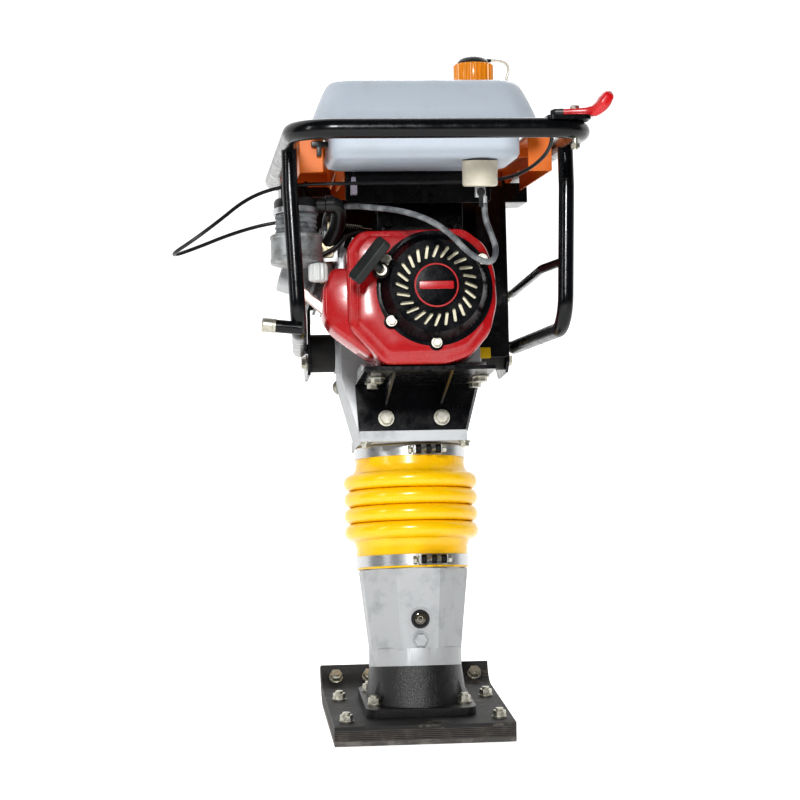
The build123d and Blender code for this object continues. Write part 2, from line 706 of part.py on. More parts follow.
FUEL_HOSE = (
    (78, -282, 838), (78, -282, 818), (86, -288, 795), (94, -302, 768), (82, -322, 748),
    (52, -322, 762), (24, -300, 795), (-6, -274, 816), (-42, -244, 828), (-80, -212, 833),
    (-112, -170, 836), (-138, -120, 832), (-146, -101.63, 817.18), (-146, -105.44, 797.58),
)
FUEL_HOSE_D = 9.0
VENT_HOSE = (
    (103, 222, 129), (117, 222, 129), (128, 222, 124), (130, 222, 112), (126, 222, 103), (126, 222, 94.02),
)              # in the rail frame
VENT_HOSE_D = 4.0
CABLE = (
    (162, -388.18, 950.97), (162, -389.98, 929.05), (157, -378, 909), (146, -342, 893), (132, -292, 881),
    (116, -240, 874), (80, -190, 871), (20, -165, 870), (-50, -158, 870), (-120, -160, 870),
    (-185, -165, 869), (-232, -178, 862), (-272, -200, 845), (-310, -232, 815), (-350, -248, 786),
    (-378, -232, 768), (-376, -192, 764), (-340, -160, 776), (-296, -136, 793), (-252, -122, 806),
    (-214, -119, 813), (-192, -120.5, 814.7), (-172, -120.5, 814.7),
)
CABLE_D = 5.5


# ---------------------------------------------------------------- engine

def barrel(shape):
    """Places a shape that is built along the cylinder's axis, with x out from the crankshaft."""
    return Pos(ENGINE_X, BARREL_Y, ENGINE_Z) * Rot(0, 180 + BARREL_TILT, 0) * shape


def make_engine_block():
    """The engine's crankcase, its base and its four feet."""
    body = block(ENGINE_X - 72, ENGINE_X + 72, BLOCK_REAR, ENGINE_FRONT, 560, 745)
    body = fillet(body.edges().filter_by(Axis.Y), 26)
    body += block(-93, 101, -222, -134, BED_TOP, 562)
    body -= ahead(ENGINE_X, BLOCK_REAR - 1, ENGINE_Z, 14, 200)
    for x, y in engine_bolt_places():
        body -= up(x, y, 540, 5.1, 20)
    return body


def make_cylinder_head():
    """The finned cylinder and head."""
    core = block(66, 196, -40, 40, -42, 42)
    for n in range(9):
        x = 82 + 13 * n
        core += block(x, x + 4, -50, 50, -60, 58)
    return barrel(core) - block(ENGINE_X - 72, ENGINE_X + 72, -230, -110, 555, 746)


def make_rocker_cover():
    """The pressed cover on the end of the cylinder head."""
    cover = block(196.2, 230, -42, 42, -42, 40)
    cover = fillet(cover.edges().filter_by(Axis.X), 12)
    return barrel(cover)


def make_fan_shroud():
    """The red fan housing: squared at the top left, cut away below it and round on the right."""
    outline = (
        (-118, 640), (-118, 730), (-98, 752), (60, 755), (92, 730), (106, 690), (108, 640), (96, 594),
        (66, 560), (30, 549), (-66, 549), (-118, 606),
    )
    inner = tuple((ENGINE_X + (x - ENGINE_X) * 0.96, 650 + (z - 650) * 0.96) for x, z in outline)
    shroud = plate_across(outline, SHROUD_REAR, BLOCK_REAR)
    shroud -= plate_across(inner, SHROUD_REAR + 3, BLOCK_REAR + 1)
    return shroud - ahead(ENGINE_X, SHROUD_REAR - 1, ENGINE_Z, 80, 10)


def make_recoil_cover():
    """The black starter cover with its ring of slots."""
    cover = ahead(ENGINE_X, SHROUD_REAR - 6, ENGINE_Z, 88, 6)
    cover += Pos(ENGINE_X, RECOIL_REAR, ENGINE_Z) * Rot(-90, 0, 0) * Cone(70, 82, 26, align=LOW)
    cover -= Pos(ENGINE_X, RECOIL_REAR + 3, ENGINE_Z) * Rot(-90, 0, 0) * Cone(67, 79, 30, align=LOW)
    face = Pos(ENGINE_X, RECOIL_REAR, ENGINE_Z) * Rot(-90, 0, 0)
    for n in range(24):
        slot = Pos(0, 0, -2) * extrude(SlotCenterToCenter(16, 5), 8)
        cover -= face * Rot(0, 0, 15 * n) * Pos(52, 0, 0) * Rot(0, 0, 24) * slot
    for turn, reach in LUGS:
        foot = ENGINE_X + reach * cos(radians(turn)), ENGINE_Z + reach * sin(radians(turn))
        cover += ahead(foot[0], SHROUD_REAR - 9, foot[1], 11, 9)
        cover += ahead(foot[0], SHROUD_REAR - 14, foot[1], 6.5, 5)
    hub = ahead(ENGINE_X, RECOIL_REAR + 3, ENGINE_Z, 8, 26)
    x = ENGINE_X + GUIDE_HOLE[0]
    z = ENGINE_Z + GUIDE_HOLE[1]
    guide = ahead(x, RECOIL_REAR + 3, z, 12, SHROUD_REAR - RECOIL_REAR - 3)
    return cover + hub + guide - ahead(x, RECOIL_REAR, z, 4, 20)


LUGS = ((150.0, 84.0), (30.0, 84.0), (270.0, 84.0), (217.0, 84.0))     # the cover's bolts, turn and reach
GUIDE_HOLE = (-82.0, 24.0)     # where the starter rope leaves the cover, from its middle
PULL = Vector(-0.62, -0.70, 0.34).normalized()     # the starter grip's way out


def make_starter_grip():
    """The starter's T grip with its stem."""
    hole = Vector(ENGINE_X + GUIDE_HOLE[0], RECOIL_REAR, ENGINE_Z + GUIDE_HOLE[1])
    plane = Plane(origin=hole + PULL * 3, x_dir=Vector(57, 0, 49), z_dir=PULL)
    stem = Cylinder(7, 22, align=LOW)
    bar = Pos(0, 0, 20) * Box(76, 22, 16, align=LOW)
    bar = fillet(bar.edges().filter_by(Axis.Z), 7)
    return plane * (stem + bar)


def make_starter_pulley():
    """The rope pulley inside the starter cover."""
    pulley = ahead(ENGINE_X, -344, ENGINE_Z, 63, 18) - ahead(ENGINE_X, -345, ENGINE_Z, 8.05, 30)
    groove = ahead(ENGINE_X, -339, ENGINE_Z, 80, 8) - ahead(ENGINE_X, -340, ENGINE_Z, 54, 10)
    return pulley - groove


def make_flywheel():
    """The flywheel with its fan blades, under the red housing."""
    wheel = ahead(ENGINE_X, -262, ENGINE_Z, 76, 30) - ahead(ENGINE_X, -263, ENGINE_Z, 11, 50)
    for n in range(12):
        blade = Pos(56, 0, 0) * Box(34, 3, 18, align=LOW)
        wheel += Pos(ENGINE_X, -262, ENGINE_Z) * Rot(90, 0, 0) * Rot(0, 0, 30 * n) * blade
    return wheel


def make_engine_crankshaft():
    """The engine's crankshaft, from the flywheel through to the clutch hub."""
    shaft = ahead(ENGINE_X, -290, ENGINE_Z, 11, 74)
    shaft += ahead(ENGINE_X, -222, ENGINE_Z, 13.9, 106)
    return shaft + ahead(ENGINE_X, -118, ENGINE_Z, 11, 30)


def make_clutch_shoes():
    """Two centrifugal shoes on the hub, inside the drum."""
    ring = ahead(ENGINE_X, -108, ENGINE_Z, 37.5, 20) - ahead(ENGINE_X, -109, ENGINE_Z, 11, 22)
    gap = block(ENGINE_X - 60, ENGINE_X + 60, -110, -80, ENGINE_Z - 2, ENGINE_Z + 2)
    return ring - gap


def make_clutch_housing():
    """The round housing between the engine and the crankcase."""
    shell = ahead(ENGINE_X, ENGINE_FRONT, ENGINE_Z, 60, CASE_REAR - ENGINE_FRONT)
    shell -= ahead(ENGINE_X, ENGINE_FRONT - 1, ENGINE_Z, 50, 60)
    return shell - ahead(0, -79, GEAR_Z, 34.5, 10)


def make_carburettor():
    """The carburettor with its float bowl, inlet barb and cable bracket."""
    body = block(-172, -128, -254, -224, 716, 752)
    bowl = up(-150, -239, 690, 14, 28)
    barb = up(-146, -239, 750, 4, 16)
    bracket = block(-172, -169, -263, -240, 749, 788)
    return body + bowl + barb + bracket


def make_choke_lever():
    """The choke lever on the carburettor's left side."""
    hub = across(-178.2, -239, 738, 5, 6)
    blade = block(-178.2, -175.7, -242, -236, 738, 770)
    return hub + blade


def make_throttle_arm():
    """The arm on the carburettor's rear face that the throttle cable pulls."""
    hub = ahead(-140, -260.2, 740, 6, 6)
    blade = block(-143, -137, -260.2, -257.7, 740, 786)
    return hub + blade


def make_air_filter():
    """The filter: a can with a ribbed neck, a clamp on top and a drain cup."""
    x, y = -193, -298
    can = up(x, y, 704, 40, 44)
    neck = up(x, y, 748, 31, 34)
    cap = up(x, y, 782, 34, 22)
    elbow = across(x, y, 796, 12, 58)
    cup = up(x + 31, y - 12, 676, 14, 28)
    return can + neck + cap + elbow + cup


def make_muffler():
    """The muffler box behind the tank, with its stub to the cylinder head."""
    box = block(-60, 75, -192, -122, 768, 852)
    box = fillet(box.edges().filter_by(Axis.Y), 16)
    for x, z in ((-44, 786), (58, 786), (-44, 834), (58, 834)):
        box += ahead(x, -197, z, 7, 5)
    return box + block(-30, 40, -172, -142, 745.05, 769)


def make_parts():
    """Every node's shape, in the world frame."""
    leaned = {
        "lower_leg": make_lower_leg(),
        "oil_sight": make_oil_sight(),
        "drain_plug": make_drain_plug(),
        "spring_cylinder": make_spring_cylinder(),
        "cylinder_cap": make_cylinder_cap(),
        "lower_clamp": clamp_band(NECK_LOW_R, 255, 273, 24),
        "bellows": make_bellows(),
        "lower_spring": spring_envelope(122.2, 214.7),
        "upper_spring": spring_envelope(235.3, 330.8),
        "piston_rod": make_piston_rod(),
        "piston": make_piston(),
        "crankcase": make_crankcase(),
        "crankcase_cover": make_crankcase_cover(),
        "guide_tube": make_guide_tube(),
        "shaft_bearings": make_shaft_bearings(),
        "upper_clamp": clamp_band(NECK_HIGH_R + 0.15, 431, 448, 20),
        "crank_gear": make_crank_gear(),
        "connecting_rod": make_connecting_rod(),
        "clutch_drum": make_clutch_drum(),
        "clutch_shoes": make_clutch_shoes(),
        "clutch_housing": make_clutch_housing(),
        "engine_bracket": make_engine_bracket(),
        "hex_bolts": make_hex_bolts(),
        "rubber_mounts": make_rubber_mounts(),
        "cross_plate": make_cross_plate(),
        "engine_block": make_engine_block(),
        "cylinder_head": make_cylinder_head(),
        "rocker_cover": make_rocker_cover(),
        "fan_shroud": make_fan_shroud(),
        "recoil_cover": make_recoil_cover(),
        "starter_grip": make_starter_grip(),
        "starter_pulley": make_starter_pulley(),
        "flywheel": make_flywheel(),
        "engine_crankshaft": make_engine_crankshaft(),
        "carburettor": make_carburettor(),
        "choke_lever": make_choke_lever(),
        "throttle_arm": make_throttle_arm(),
        "air_filter": make_air_filter(),
        "muffler": make_muffler(),
    }
    railed = {
        "handle_loop": make_handle_loop(),
        "throttle_lever": make_throttle_lever(),
        "fuel_tank": make_fuel_tank(),
        "tank_cap": make_tank_cap(),
        "cap_vent": make_cap_vent(),
    }
    parts = {
        "sole_plate": shoe_layer(0, SOLE_THICK),
        "shoe_core": shoe_layer(SOLE_THICK, CORE_TOP),
        "shoe_top_plate": shoe_layer(CORE_TOP, SHOE_TOP),
        "shoe_fasteners": make_shoe_fasteners(),
        "foot_casting": make_foot_casting(),
        "side_plate_left": make_side_plate(-1),
        "side_plate_right": make_side_plate(1),
        "guard_left": make_guard(-1),
        "guard_right": make_guard(1),
        "hood": make_hood(),
        "fuel_bowl": make_fuel_bowl(),
        "petcock_body": make_petcock_body(),
        "petcock_lever": make_petcock_lever(),
        "fuel_hose": cord("fuel_hose", FUEL_HOSE, FUEL_HOSE_D),
        "vent_hose": RAILS * cord("vent_hose", VENT_HOSE, VENT_HOSE_D),
        "throttle_cable": cord("throttle_cable", CABLE, CABLE_D),
    }
    for frame, group in ((MACHINE, leaned), (RAILS, railed)):
        for name, shape in group.items():
            parts[name] = placed(frame, shape)
    return parts


def placed(frame, shape):
    """Moves a shape, or each shape of a list, into the world frame."""
    if isinstance(shape, list):
        return [frame * piece for piece in shape]
    return frame * shape


os.makedirs("parts", exist_ok=True)
for name, shape in make_parts().items():
    if isinstance(shape, list):
        shape = Compound(children=shape)
    export_step(shape, f"parts/{name}.step")
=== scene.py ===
import bmesh
import bpy
import numpy as np
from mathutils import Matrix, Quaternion, Vector


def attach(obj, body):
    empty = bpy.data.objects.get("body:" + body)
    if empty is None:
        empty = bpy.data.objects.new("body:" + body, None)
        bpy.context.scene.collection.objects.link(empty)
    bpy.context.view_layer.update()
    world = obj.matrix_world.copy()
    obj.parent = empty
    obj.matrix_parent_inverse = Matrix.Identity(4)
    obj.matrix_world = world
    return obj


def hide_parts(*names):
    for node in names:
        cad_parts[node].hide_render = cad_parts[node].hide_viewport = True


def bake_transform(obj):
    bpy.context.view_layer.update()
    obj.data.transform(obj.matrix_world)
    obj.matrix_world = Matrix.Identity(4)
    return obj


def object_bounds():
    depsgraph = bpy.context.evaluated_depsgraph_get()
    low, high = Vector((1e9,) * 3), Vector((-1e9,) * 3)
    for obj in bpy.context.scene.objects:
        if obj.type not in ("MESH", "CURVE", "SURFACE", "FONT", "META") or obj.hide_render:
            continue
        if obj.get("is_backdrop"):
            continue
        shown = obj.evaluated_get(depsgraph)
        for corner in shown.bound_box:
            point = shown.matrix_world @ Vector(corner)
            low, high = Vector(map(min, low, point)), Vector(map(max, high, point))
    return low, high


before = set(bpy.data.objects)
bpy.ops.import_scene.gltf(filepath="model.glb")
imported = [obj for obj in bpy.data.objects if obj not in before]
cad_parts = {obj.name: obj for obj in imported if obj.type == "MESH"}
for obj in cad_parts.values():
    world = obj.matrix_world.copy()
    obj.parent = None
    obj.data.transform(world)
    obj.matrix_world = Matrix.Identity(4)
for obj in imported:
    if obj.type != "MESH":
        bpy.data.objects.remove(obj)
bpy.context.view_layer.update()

# Jumping jack rammer, put together from the ground up. Sizes are in millimetres in the leg's own
# frame (x right, y forward, z up the leg) or the rails' frame, and two functions take both to the world.

# ------------------------------------------------------------------ camera
# The eye stands three and a half metres behind the machine and a little to its left. It is 0.8 m above
# the floor, just below the tank, and looks slightly down.
YAW, PITCH, ROLL = np.radians([5.606, 4.626, 0.497])
camera = bpy.data.objects.new("camera", bpy.data.cameras.new("camera"))
bpy.context.scene.collection.objects.link(camera)
bpy.context.scene.camera = camera
camera.data.lens = 99.0
camera.data.sensor_width = 36.0
camera.location = (-0.365, -3.501, 0.811)
look = Vector((np.sin(YAW) * np.cos(PITCH), np.cos(YAW) * np.cos(PITCH), -np.sin(PITCH)))
camera.rotation_mode = "QUATERNION"
camera.rotation_quaternion = look.to_track_quat("-Z", "Y") @ Quaternion((0, 0, 1), -ROLL)


# ------------------------------------------------------------------ fuel hose
# Grey nitrile hose of 9 mm from the fuel tap, down past the starter, and over the engine to the
# carburettor. It is pushed onto a barb at each end.
def linear(code):
    """The linear RGBA of an sRGB hex code: the standard curve, a power of 2.4 above a short straight foot."""
    parts = np.array([int(code[i:i + 2], 16) for i in (1, 3, 5)]) / 255.0
    parts = np.where(parts <= 0.04045, parts / 12.92, ((parts + 0.055) / 1.055) ** 2.4)
    return (*parts.tolist(), 1.0)


def add(tree, kind, inputs=None, **settings):
    """Adds one node with its settings, and links or sets its inputs by name or number."""
    made = tree.nodes.new(kind)
    for key, value in settings.items():
        setattr(made, key, value)
    for key, value in (inputs or {}).items():
        if isinstance(value, bpy.types.NodeSocket):
            tree.links.new(value, made.inputs[key])
        else:
            made.inputs[key].default_value = value
    return made


def begin(name):
    """A new material's tree, emptied, with its Object coordinates."""
    material = bpy.data.materials.new(name)
    material.use_nodes = True
    material.node_tree.nodes.clear()
    place = add(material.node_tree, "ShaderNodeTexCoord").outputs["Object"]
    return material, material.node_tree, place


def noise(tree, place, scale, detail, roughness=0.5):
    """A noise field over the place, with scale in cells per metre and detail in octaves."""
    return add(tree, "ShaderNodeTexNoise",
               {"Vector": place, "Scale": scale, "Detail": detail, "Roughness": roughness})


def ramp(tree, value, low=0.0, high=1.0, start=0.0, end=1.0):
    """The value, carried in a straight line from low to high onto start to end, and held at both ends."""
    return add(tree, "ShaderNodeMapRange",
               {"Value": value, "From Min": low, "From Max": high, "To Min": start, "To Max": end})


def mixed(tree, share, first, second):
    """A colour between the first and the second by the share of the second."""
    return add(tree, "ShaderNodeMix", {0: share, 6: first, 7: second}, data_type="RGBA")


def bumped(tree, height, strength, distance):
    """A relief that tilts the surface's normal by the height's slope."""
    return add(tree, "ShaderNodeBump", {"Height": height, "Strength": strength, "Distance": distance})


def times(tree, first, second):
    """The product of two values."""
    return add(tree, "ShaderNodeMath", {0: first, 1: second}, operation="MULTIPLY")


def surfaced(material, inputs):
    """Closes a material with a Principled surface that has these inputs, and returns it."""
    tree = material.node_tree
    shader = add(tree, "ShaderNodeBsdfPrincipled", inputs)
    add(tree, "ShaderNodeOutputMaterial", {"Surface": shader.outputs[0]})
    return material


def nitrile_hose():
    """Extruded nitrile rubber: dull, lightly dusty, with a fine drawn grain."""
    material, tree, place = begin("extruded_nitrile_rubber")
    dust = noise(tree, place, 60.0, 6.0)
    grain = noise(tree, place, 900.0, 2.0)
    share = ramp(tree, dust.outputs["Fac"], 0.42, 0.7)
    colour = mixed(tree, share.outputs[0], linear("#4b4e52"), linear("#8b8d8e"))
    bump = bumped(tree, grain.outputs["Fac"], 0.25, 0.0003)
    return surfaced(material, {
        "Base Color": colour.outputs[2], "Roughness": 0.52, "IOR": 1.52, "Normal": bump.outputs[0]})


def cord_line(name, points, diameter, material):
    """A smooth line through space, a NURBS spline on the route's points, with a round section."""
    curve = bpy.data.curves.new(name, "CURVE")
    curve.dimensions = "3D"
    spline = curve.splines.new("NURBS")
    spline.points.add(len(points) - 1)
    rows = np.concatenate([np.array(points, float), np.ones((len(points), 1))], 1)
    spline.points.foreach_set("co", rows.ravel())
    spline.order_u = 3
    spline.use_endpoint_u = True
    curve.resolution_u = 12
    curve.bevel_depth = diameter / 2
    curve.bevel_resolution = 5
    curve.use_fill_caps = True
    curve.materials.append(material)
    line = bpy.data.objects.new(name, curve)
    bpy.context.scene.collection.objects.link(line)
    return line


fuel_points = [
    (0.078, -0.282, 0.838), (0.078, -0.282, 0.818), (0.086, -0.288, 0.795), (0.094, -0.302, 0.768),
    (0.082, -0.322, 0.748), (0.052, -0.322, 0.762), (0.024, -0.300, 0.795), (-0.006, -0.274, 0.816),
    (-0.042, -0.244, 0.828), (-0.080, -0.212, 0.833), (-0.112, -0.170, 0.836), (-0.138, -0.120, 0.832),
    (-0.146, -0.10163, 0.81718), (-0.146, -0.10544, 0.79758),
]
fuel_line = cord_line("fuel_hose_line", fuel_points, 0.009, nitrile_hose())
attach(fuel_line, "upper")
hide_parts("fuel_hose")


# ------------------------------------------------------------------ throttle cable
# A push-pull cable in a black PVC sleeve of 5.5 mm. It leaves the lever's tab, passes under the tank
# and swings out to the left in one loose loop, then comes back to the carburettor's bracket.
def sleeve_pvc():
    """Extruded PVC sleeve: black, satin, with small scuffs."""
    material, tree, place = begin("extruded_black_pvc")
    scuff = noise(tree, place, 140.0, 5.0)
    rough = ramp(tree, scuff.outputs["Fac"], start=0.28, end=0.5)
    bump = bumped(tree, scuff.outputs["Fac"], 0.15, 0.0004)
    return surfaced(material, {
        "Base Color": linear("#141516"), "Roughness": rough.outputs[0], "IOR": 1.53,
        "Normal": bump.outputs[0]})


black_sleeve = sleeve_pvc()
cable_points = [
    (0.162, -0.38818, 0.95097), (0.162, -0.38998, 0.92905), (0.157, -0.378, 0.909), (0.146, -0.342, 0.893),
    (0.132, -0.292, 0.881), (0.116, -0.240, 0.874), (0.080, -0.190, 0.871), (0.020, -0.165, 0.870),
    (-0.050, -0.158, 0.870), (-0.120, -0.160, 0.870), (-0.185, -0.165, 0.869), (-0.232, -0.178, 0.862),
    (-0.272, -0.200, 0.845), (-0.310, -0.232, 0.815), (-0.350, -0.248, 0.786), (-0.378, -0.232, 0.768),
    (-0.376, -0.192, 0.764), (-0.340, -0.160, 0.776), (-0.296, -0.136, 0.793), (-0.252, -0.122, 0.806),
    (-0.214, -0.119, 0.813), (-0.192, -0.1205, 0.8147), (-0.172, -0.1205, 0.8147),
]
cable_line = cord_line("throttle_cable_line", cable_points, 0.0055, black_sleeve)
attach(cable_line, "upper")
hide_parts("throttle_cable")


# ------------------------------------------------------------------ tank vent hose
# A short clear PVC hose of 4 mm. It loops from the filler cap's middle back to a spout on the tank,
# and is gone slightly milky.
def clear_pvc():
    """Extruded soft PVC: clear, gone slightly milky."""
    material, tree, place = begin("extruded_clear_pvc")
    haze = noise(tree, place, 120.0, 3.0)
    rough = ramp(tree, haze.outputs["Fac"], start=0.12, end=0.3)
    return surfaced(material, {
        "Base Color": linear("#d9d6cb"), "Roughness": rough.outputs[0], "IOR": 1.53,
        "Transmission Weight": 0.55, "Subsurface Weight": 0.15})


SLOPE = np.radians(4.7)


def railed(points):
    """Rails' frame to world: a turn by the slope about X, then a shift to the rear bar, and mm to metres."""
    x, y, z = np.moveaxis(np.asarray(points, float), -1, 0)
    turned = np.stack([x, y * np.cos(SLOPE) + z * np.sin(SLOPE) - 413.0,
                       z * np.cos(SLOPE) - y * np.sin(SLOPE) + 942.0], -1)
    return turned / 1000.0


vent_points = railed([(103, 222, 129), (117, 222, 129), (128, 222, 124), (130, 222, 112), (126, 222, 103),
                      (126, 222, 94.02)])
vent_line = cord_line("vent_hose_line", vent_points, 0.004, clear_pvc())
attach(vent_line, "upper")
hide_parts("vent_hose")


# ------------------------------------------------------------------ floor and light
# A white studio floor that reaches past the view, dark felt screens far out at each side, above and
# behind the eye, which keep the edges of glossy parts dark, and three soft lights.
def studio_floor():
    """Painted board: matt, nearly white."""
    material, tree, place = begin("matt_white_board")
    tone = noise(tree, place, 3.0, 2.0)
    colour = mixed(tree, tone.outputs["Fac"], linear("#f1f1ef"), linear("#f6f6f5"))
    return surfaced(material, {
        "Base Color": colour.outputs[2], "Roughness": 0.9, "Emission Color": (1.0, 1.0, 1.0, 1.0),
        "Emission Strength": 0.5})


def grey_cloth():
    """Felt over a frame: dark grey, matt, with a woven grain."""
    material, tree, place = begin("dark_grey_felt")
    weave = noise(tree, place, 60.0, 2.0)
    colour = mixed(tree, weave.outputs["Fac"], linear("#5c5d5e"), linear("#66676a"))
    return surfaced(material, {"Base Color": colour.outputs[2], "Roughness": 0.9})


felt = grey_cloth()
for name, corners, material in (
        ("floor", [(-14, -14, 0), (14, -14, 0), (14, 14, 0), (-14, 14, 0)], studio_floor()),
        ("left_screen", [(-6, -6.5, 0), (-6, 1.5, 0), (-6, 1.5, 7), (-6, -6.5, 7)], felt),
        ("right_screen", [(6, -6.5, 0), (6, 1.5, 0), (6, 1.5, 7), (6, -6.5, 7)], felt),
        ("rear_screen", [(-6, -6.5, 0), (6, -6.5, 0), (6, -6.5, 7), (-6, -6.5, 7)], felt),
        ("top_screen", [(-6, -6.5, 7), (6, -6.5, 7), (6, 1.5, 7), (-6, 1.5, 7)], felt)):
    stage_mesh = bpy.data.meshes.new(name)
    stage_mesh.from_pydata(corners, [], [(0, 1, 2, 3)])
    stage_mesh.materials.append(material)
    stage_piece = bpy.data.objects.new(name, stage_mesh)
    bpy.context.scene.collection.objects.link(stage_piece)
    stage_piece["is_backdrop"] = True

world = bpy.data.worlds.new("studio")
bpy.context.scene.world = world
world.use_nodes = True
world.node_tree.nodes["Background"].inputs["Color"].default_value = (1.0, 1.0, 1.0, 1.0)
world.node_tree.nodes["Background"].inputs["Strength"].default_value = 1.0
bpy.context.scene.view_settings.view_transform = "Standard"
bpy.context.scene.view_settings.look = "Medium High Contrast"

for name, spot, aim, width, height, watts in (
        ("key_light", (-0.6, -3.5, 2.3), (0, -0.1, 0.55), 0.6, 0.6, 95),
        ("left_light", (-2.8, -1.6, 1.7), (0, -0.1, 0.55), 0.4, 1.6, 14),
        ("back_light", (0.6, 2.6, 2.4), (0, 0.0, 0.7), 1.6, 1.0, 12)):
    lamp = bpy.data.objects.new(name, bpy.data.lights.new(name, "AREA"))
    bpy.context.scene.collection.objects.link(lamp)
    lamp.data.shape = "RECTANGLE"
    lamp.data.size = width
    lamp.data.size_y = height
    lamp.data.energy = watts
    lamp.location = spot
    lamp.rotation_mode = "QUATERNION"
    lamp.rotation_quaternion = (Vector(aim) - Vector(spot)).to_track_quat("-Z", "Y")


# ------------------------------------------------------------------ shoe: sole, core and top plate
# A steel sole, a core of pressed laminate and a steel top plate, bolted together and turned up at
# the toe. Cut edges are worn bright, and the core shows its layers.
def softened(node, width, material, body, segments=2, angle=28.0):
    """A copy of a CAD node with its triangles merged and its flat faces joined, and its edges rounded by
    width."""
    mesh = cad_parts[node].data.copy()
    work = bmesh.new()
    work.from_mesh(mesh)
    bmesh.ops.remove_doubles(work, verts=work.verts, dist=0.000005)
    bmesh.ops.dissolve_limit(work, angle_limit=np.radians(0.6), verts=work.verts, edges=work.edges)
    bmesh.ops.recalc_face_normals(work, faces=work.faces)
    work.to_mesh(mesh)
    work.free()
    mesh.materials.clear()
    mesh.materials.append(material)
    copy = bpy.data.objects.new(node + "_finish", mesh)
    bpy.context.scene.collection.objects.link(copy)
    bevel = copy.modifiers.new("rounded_edges", "BEVEL")
    bevel.width = width
    bevel.segments = segments
    bevel.limit_method = "ANGLE"
    bevel.angle_limit = np.radians(angle)
    bevel.use_clamp_overlap = True
    mesh.shade_smooth()
    mesh.set_sharp_from_angle(angle=np.radians(32.0))
    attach(copy, body)
    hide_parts(node)
    return copy


def laminate_edge():
    """Hot-pressed resin laminate: near black, with thin layer lines 3 mm apart that follow the turned-up
    toe."""
    material, tree, place = begin("pressed_resin_laminate")
    axes = add(tree, "ShaderNodeSeparateXYZ", {"Vector": place})
    ahead = add(tree, "ShaderNodeMath", {0: axes.outputs["Y"], 1: 0.138}, operation="SUBTRACT")
    past = add(tree, "ShaderNodeMath", {0: ahead.outputs[0], 1: 0.0}, operation="MAXIMUM")
    below = add(tree, "ShaderNodeMath", {0: 0.076, 1: axes.outputs["Z"]}, operation="SUBTRACT")
    across = add(tree, "ShaderNodeCombineXYZ", {"X": past.outputs[0], "Y": below.outputs[0]})
    depth = add(tree, "ShaderNodeVectorMath", {0: across.outputs[0]}, operation="LENGTH")
    layer = times(tree, depth.outputs["Value"], 2094.0)
    wave = add(tree, "ShaderNodeMath", {0: layer.outputs[0]}, operation="SINE")
    line = ramp(tree, wave.outputs[0], 0.55, 0.95)
    dust = noise(tree, place, 55.0, 8.0, 0.7)
    pale = ramp(tree, dust.outputs["Fac"], 0.5, 0.75)
    base = mixed(tree, pale.outputs[0], linear("#1d1b1a"), linear("#4c4641"))
    colour = mixed(tree, line.outputs[0], base.outputs[2], linear("#57514b"))
    rise = add(tree, "ShaderNodeMath", {0: wave.outputs[0], 1: dust.outputs["Fac"]}, operation="ADD")
    bump = bumped(tree, rise.outputs[0], 0.5, 0.0006)
    return surfaced(material, {
        "Base Color": colour.outputs[2], "Roughness": 0.72, "Normal": bump.outputs[0]})


def worn_plate(name, paint, bare, cover):
    """Hot-rolled plate with brushed-on paint: dusty, scratched along its use, with rust specks where paint
    is gone."""
    material, tree, place = begin(name)
    stretch = add(tree, "ShaderNodeMapping", {"Vector": place, "Scale": (1.0, 6.0, 6.0)})
    scratch = noise(tree, stretch.outputs[0], 45.0, 9.0, 0.75)
    patch = noise(tree, place, 22.0, 6.0, 0.65)
    gone = times(tree, scratch.outputs["Fac"], patch.outputs["Fac"])
    worn = ramp(tree, gone.outputs[0], cover, cover + 0.09)
    speck = noise(tree, place, 300.0, 3.0)
    rust = ramp(tree, speck.outputs["Fac"], 0.62, 0.72, end=0.7)
    metal = mixed(tree, rust.outputs[0], linear(bare), linear("#6d452c"))
    colour = mixed(tree, worn.outputs[0], linear(paint), metal.outputs[2])
    shine = ramp(tree, worn.outputs[0], end=0.6)
    rough = ramp(tree, patch.outputs["Fac"], start=0.45, end=0.8)
    bump = bumped(tree, gone.outputs[0], 0.4, 0.0012)
    return surfaced(material, {
        "Base Color": colour.outputs[2], "Metallic": shine.outputs[0], "Roughness": rough.outputs[0],
        "Normal": bump.outputs[0]})


softened("sole_plate", 0.0010, worn_plate("worn_hot_rolled_steel", "#4a4744", "#7c7873", 0.24), "leg")
softened("shoe_core", 0.0006, laminate_edge(), "leg")
softened("shoe_top_plate", 0.0010, worn_plate("scuffed_black_painted_plate", "#1b1a1a", "#6f6a63", 0.30),
         "leg")


# ------------------------------------------------------------------ shoe bolts and nuts
# M12 bolts, washers and nuts of zinc-plated steel through the shoe and the foot. They are dusty from
# the ground.
def zinc_plate(name, dirt):
    """Zinc-plated steel: grey and bright, with a faint yellow passivation and grime that gathers in
    patches."""
    material, tree, place = begin(name)
    cloud = noise(tree, place, 90.0, 4.0)
    grime = noise(tree, place, 160.0, 8.0, 0.7)
    darker_share = ramp(tree, grime.outputs["Fac"], 0.48, 0.7, end=dirt)
    clean = mixed(tree, cloud.outputs["Fac"], linear("#c9cac7"), linear("#b9b39c"))
    colour = mixed(tree, darker_share.outputs[0], clean.outputs[2], linear("#4a443d"))
    shine = ramp(tree, darker_share.outputs[0], start=1.0, end=0.35)
    rough = ramp(tree, grime.outputs["Fac"], start=0.22, end=0.6)
    bump = bumped(tree, grime.outputs["Fac"], 0.2, 0.0004)
    return surfaced(material, {
        "Base Color": colour.outputs[2], "Metallic": shine.outputs[0], "Roughness": rough.outputs[0],
        "Normal": bump.outputs[0]})


softened("shoe_fasteners", 0.0007, zinc_plate("dusty_zinc_plated_steel", 0.75), "leg")


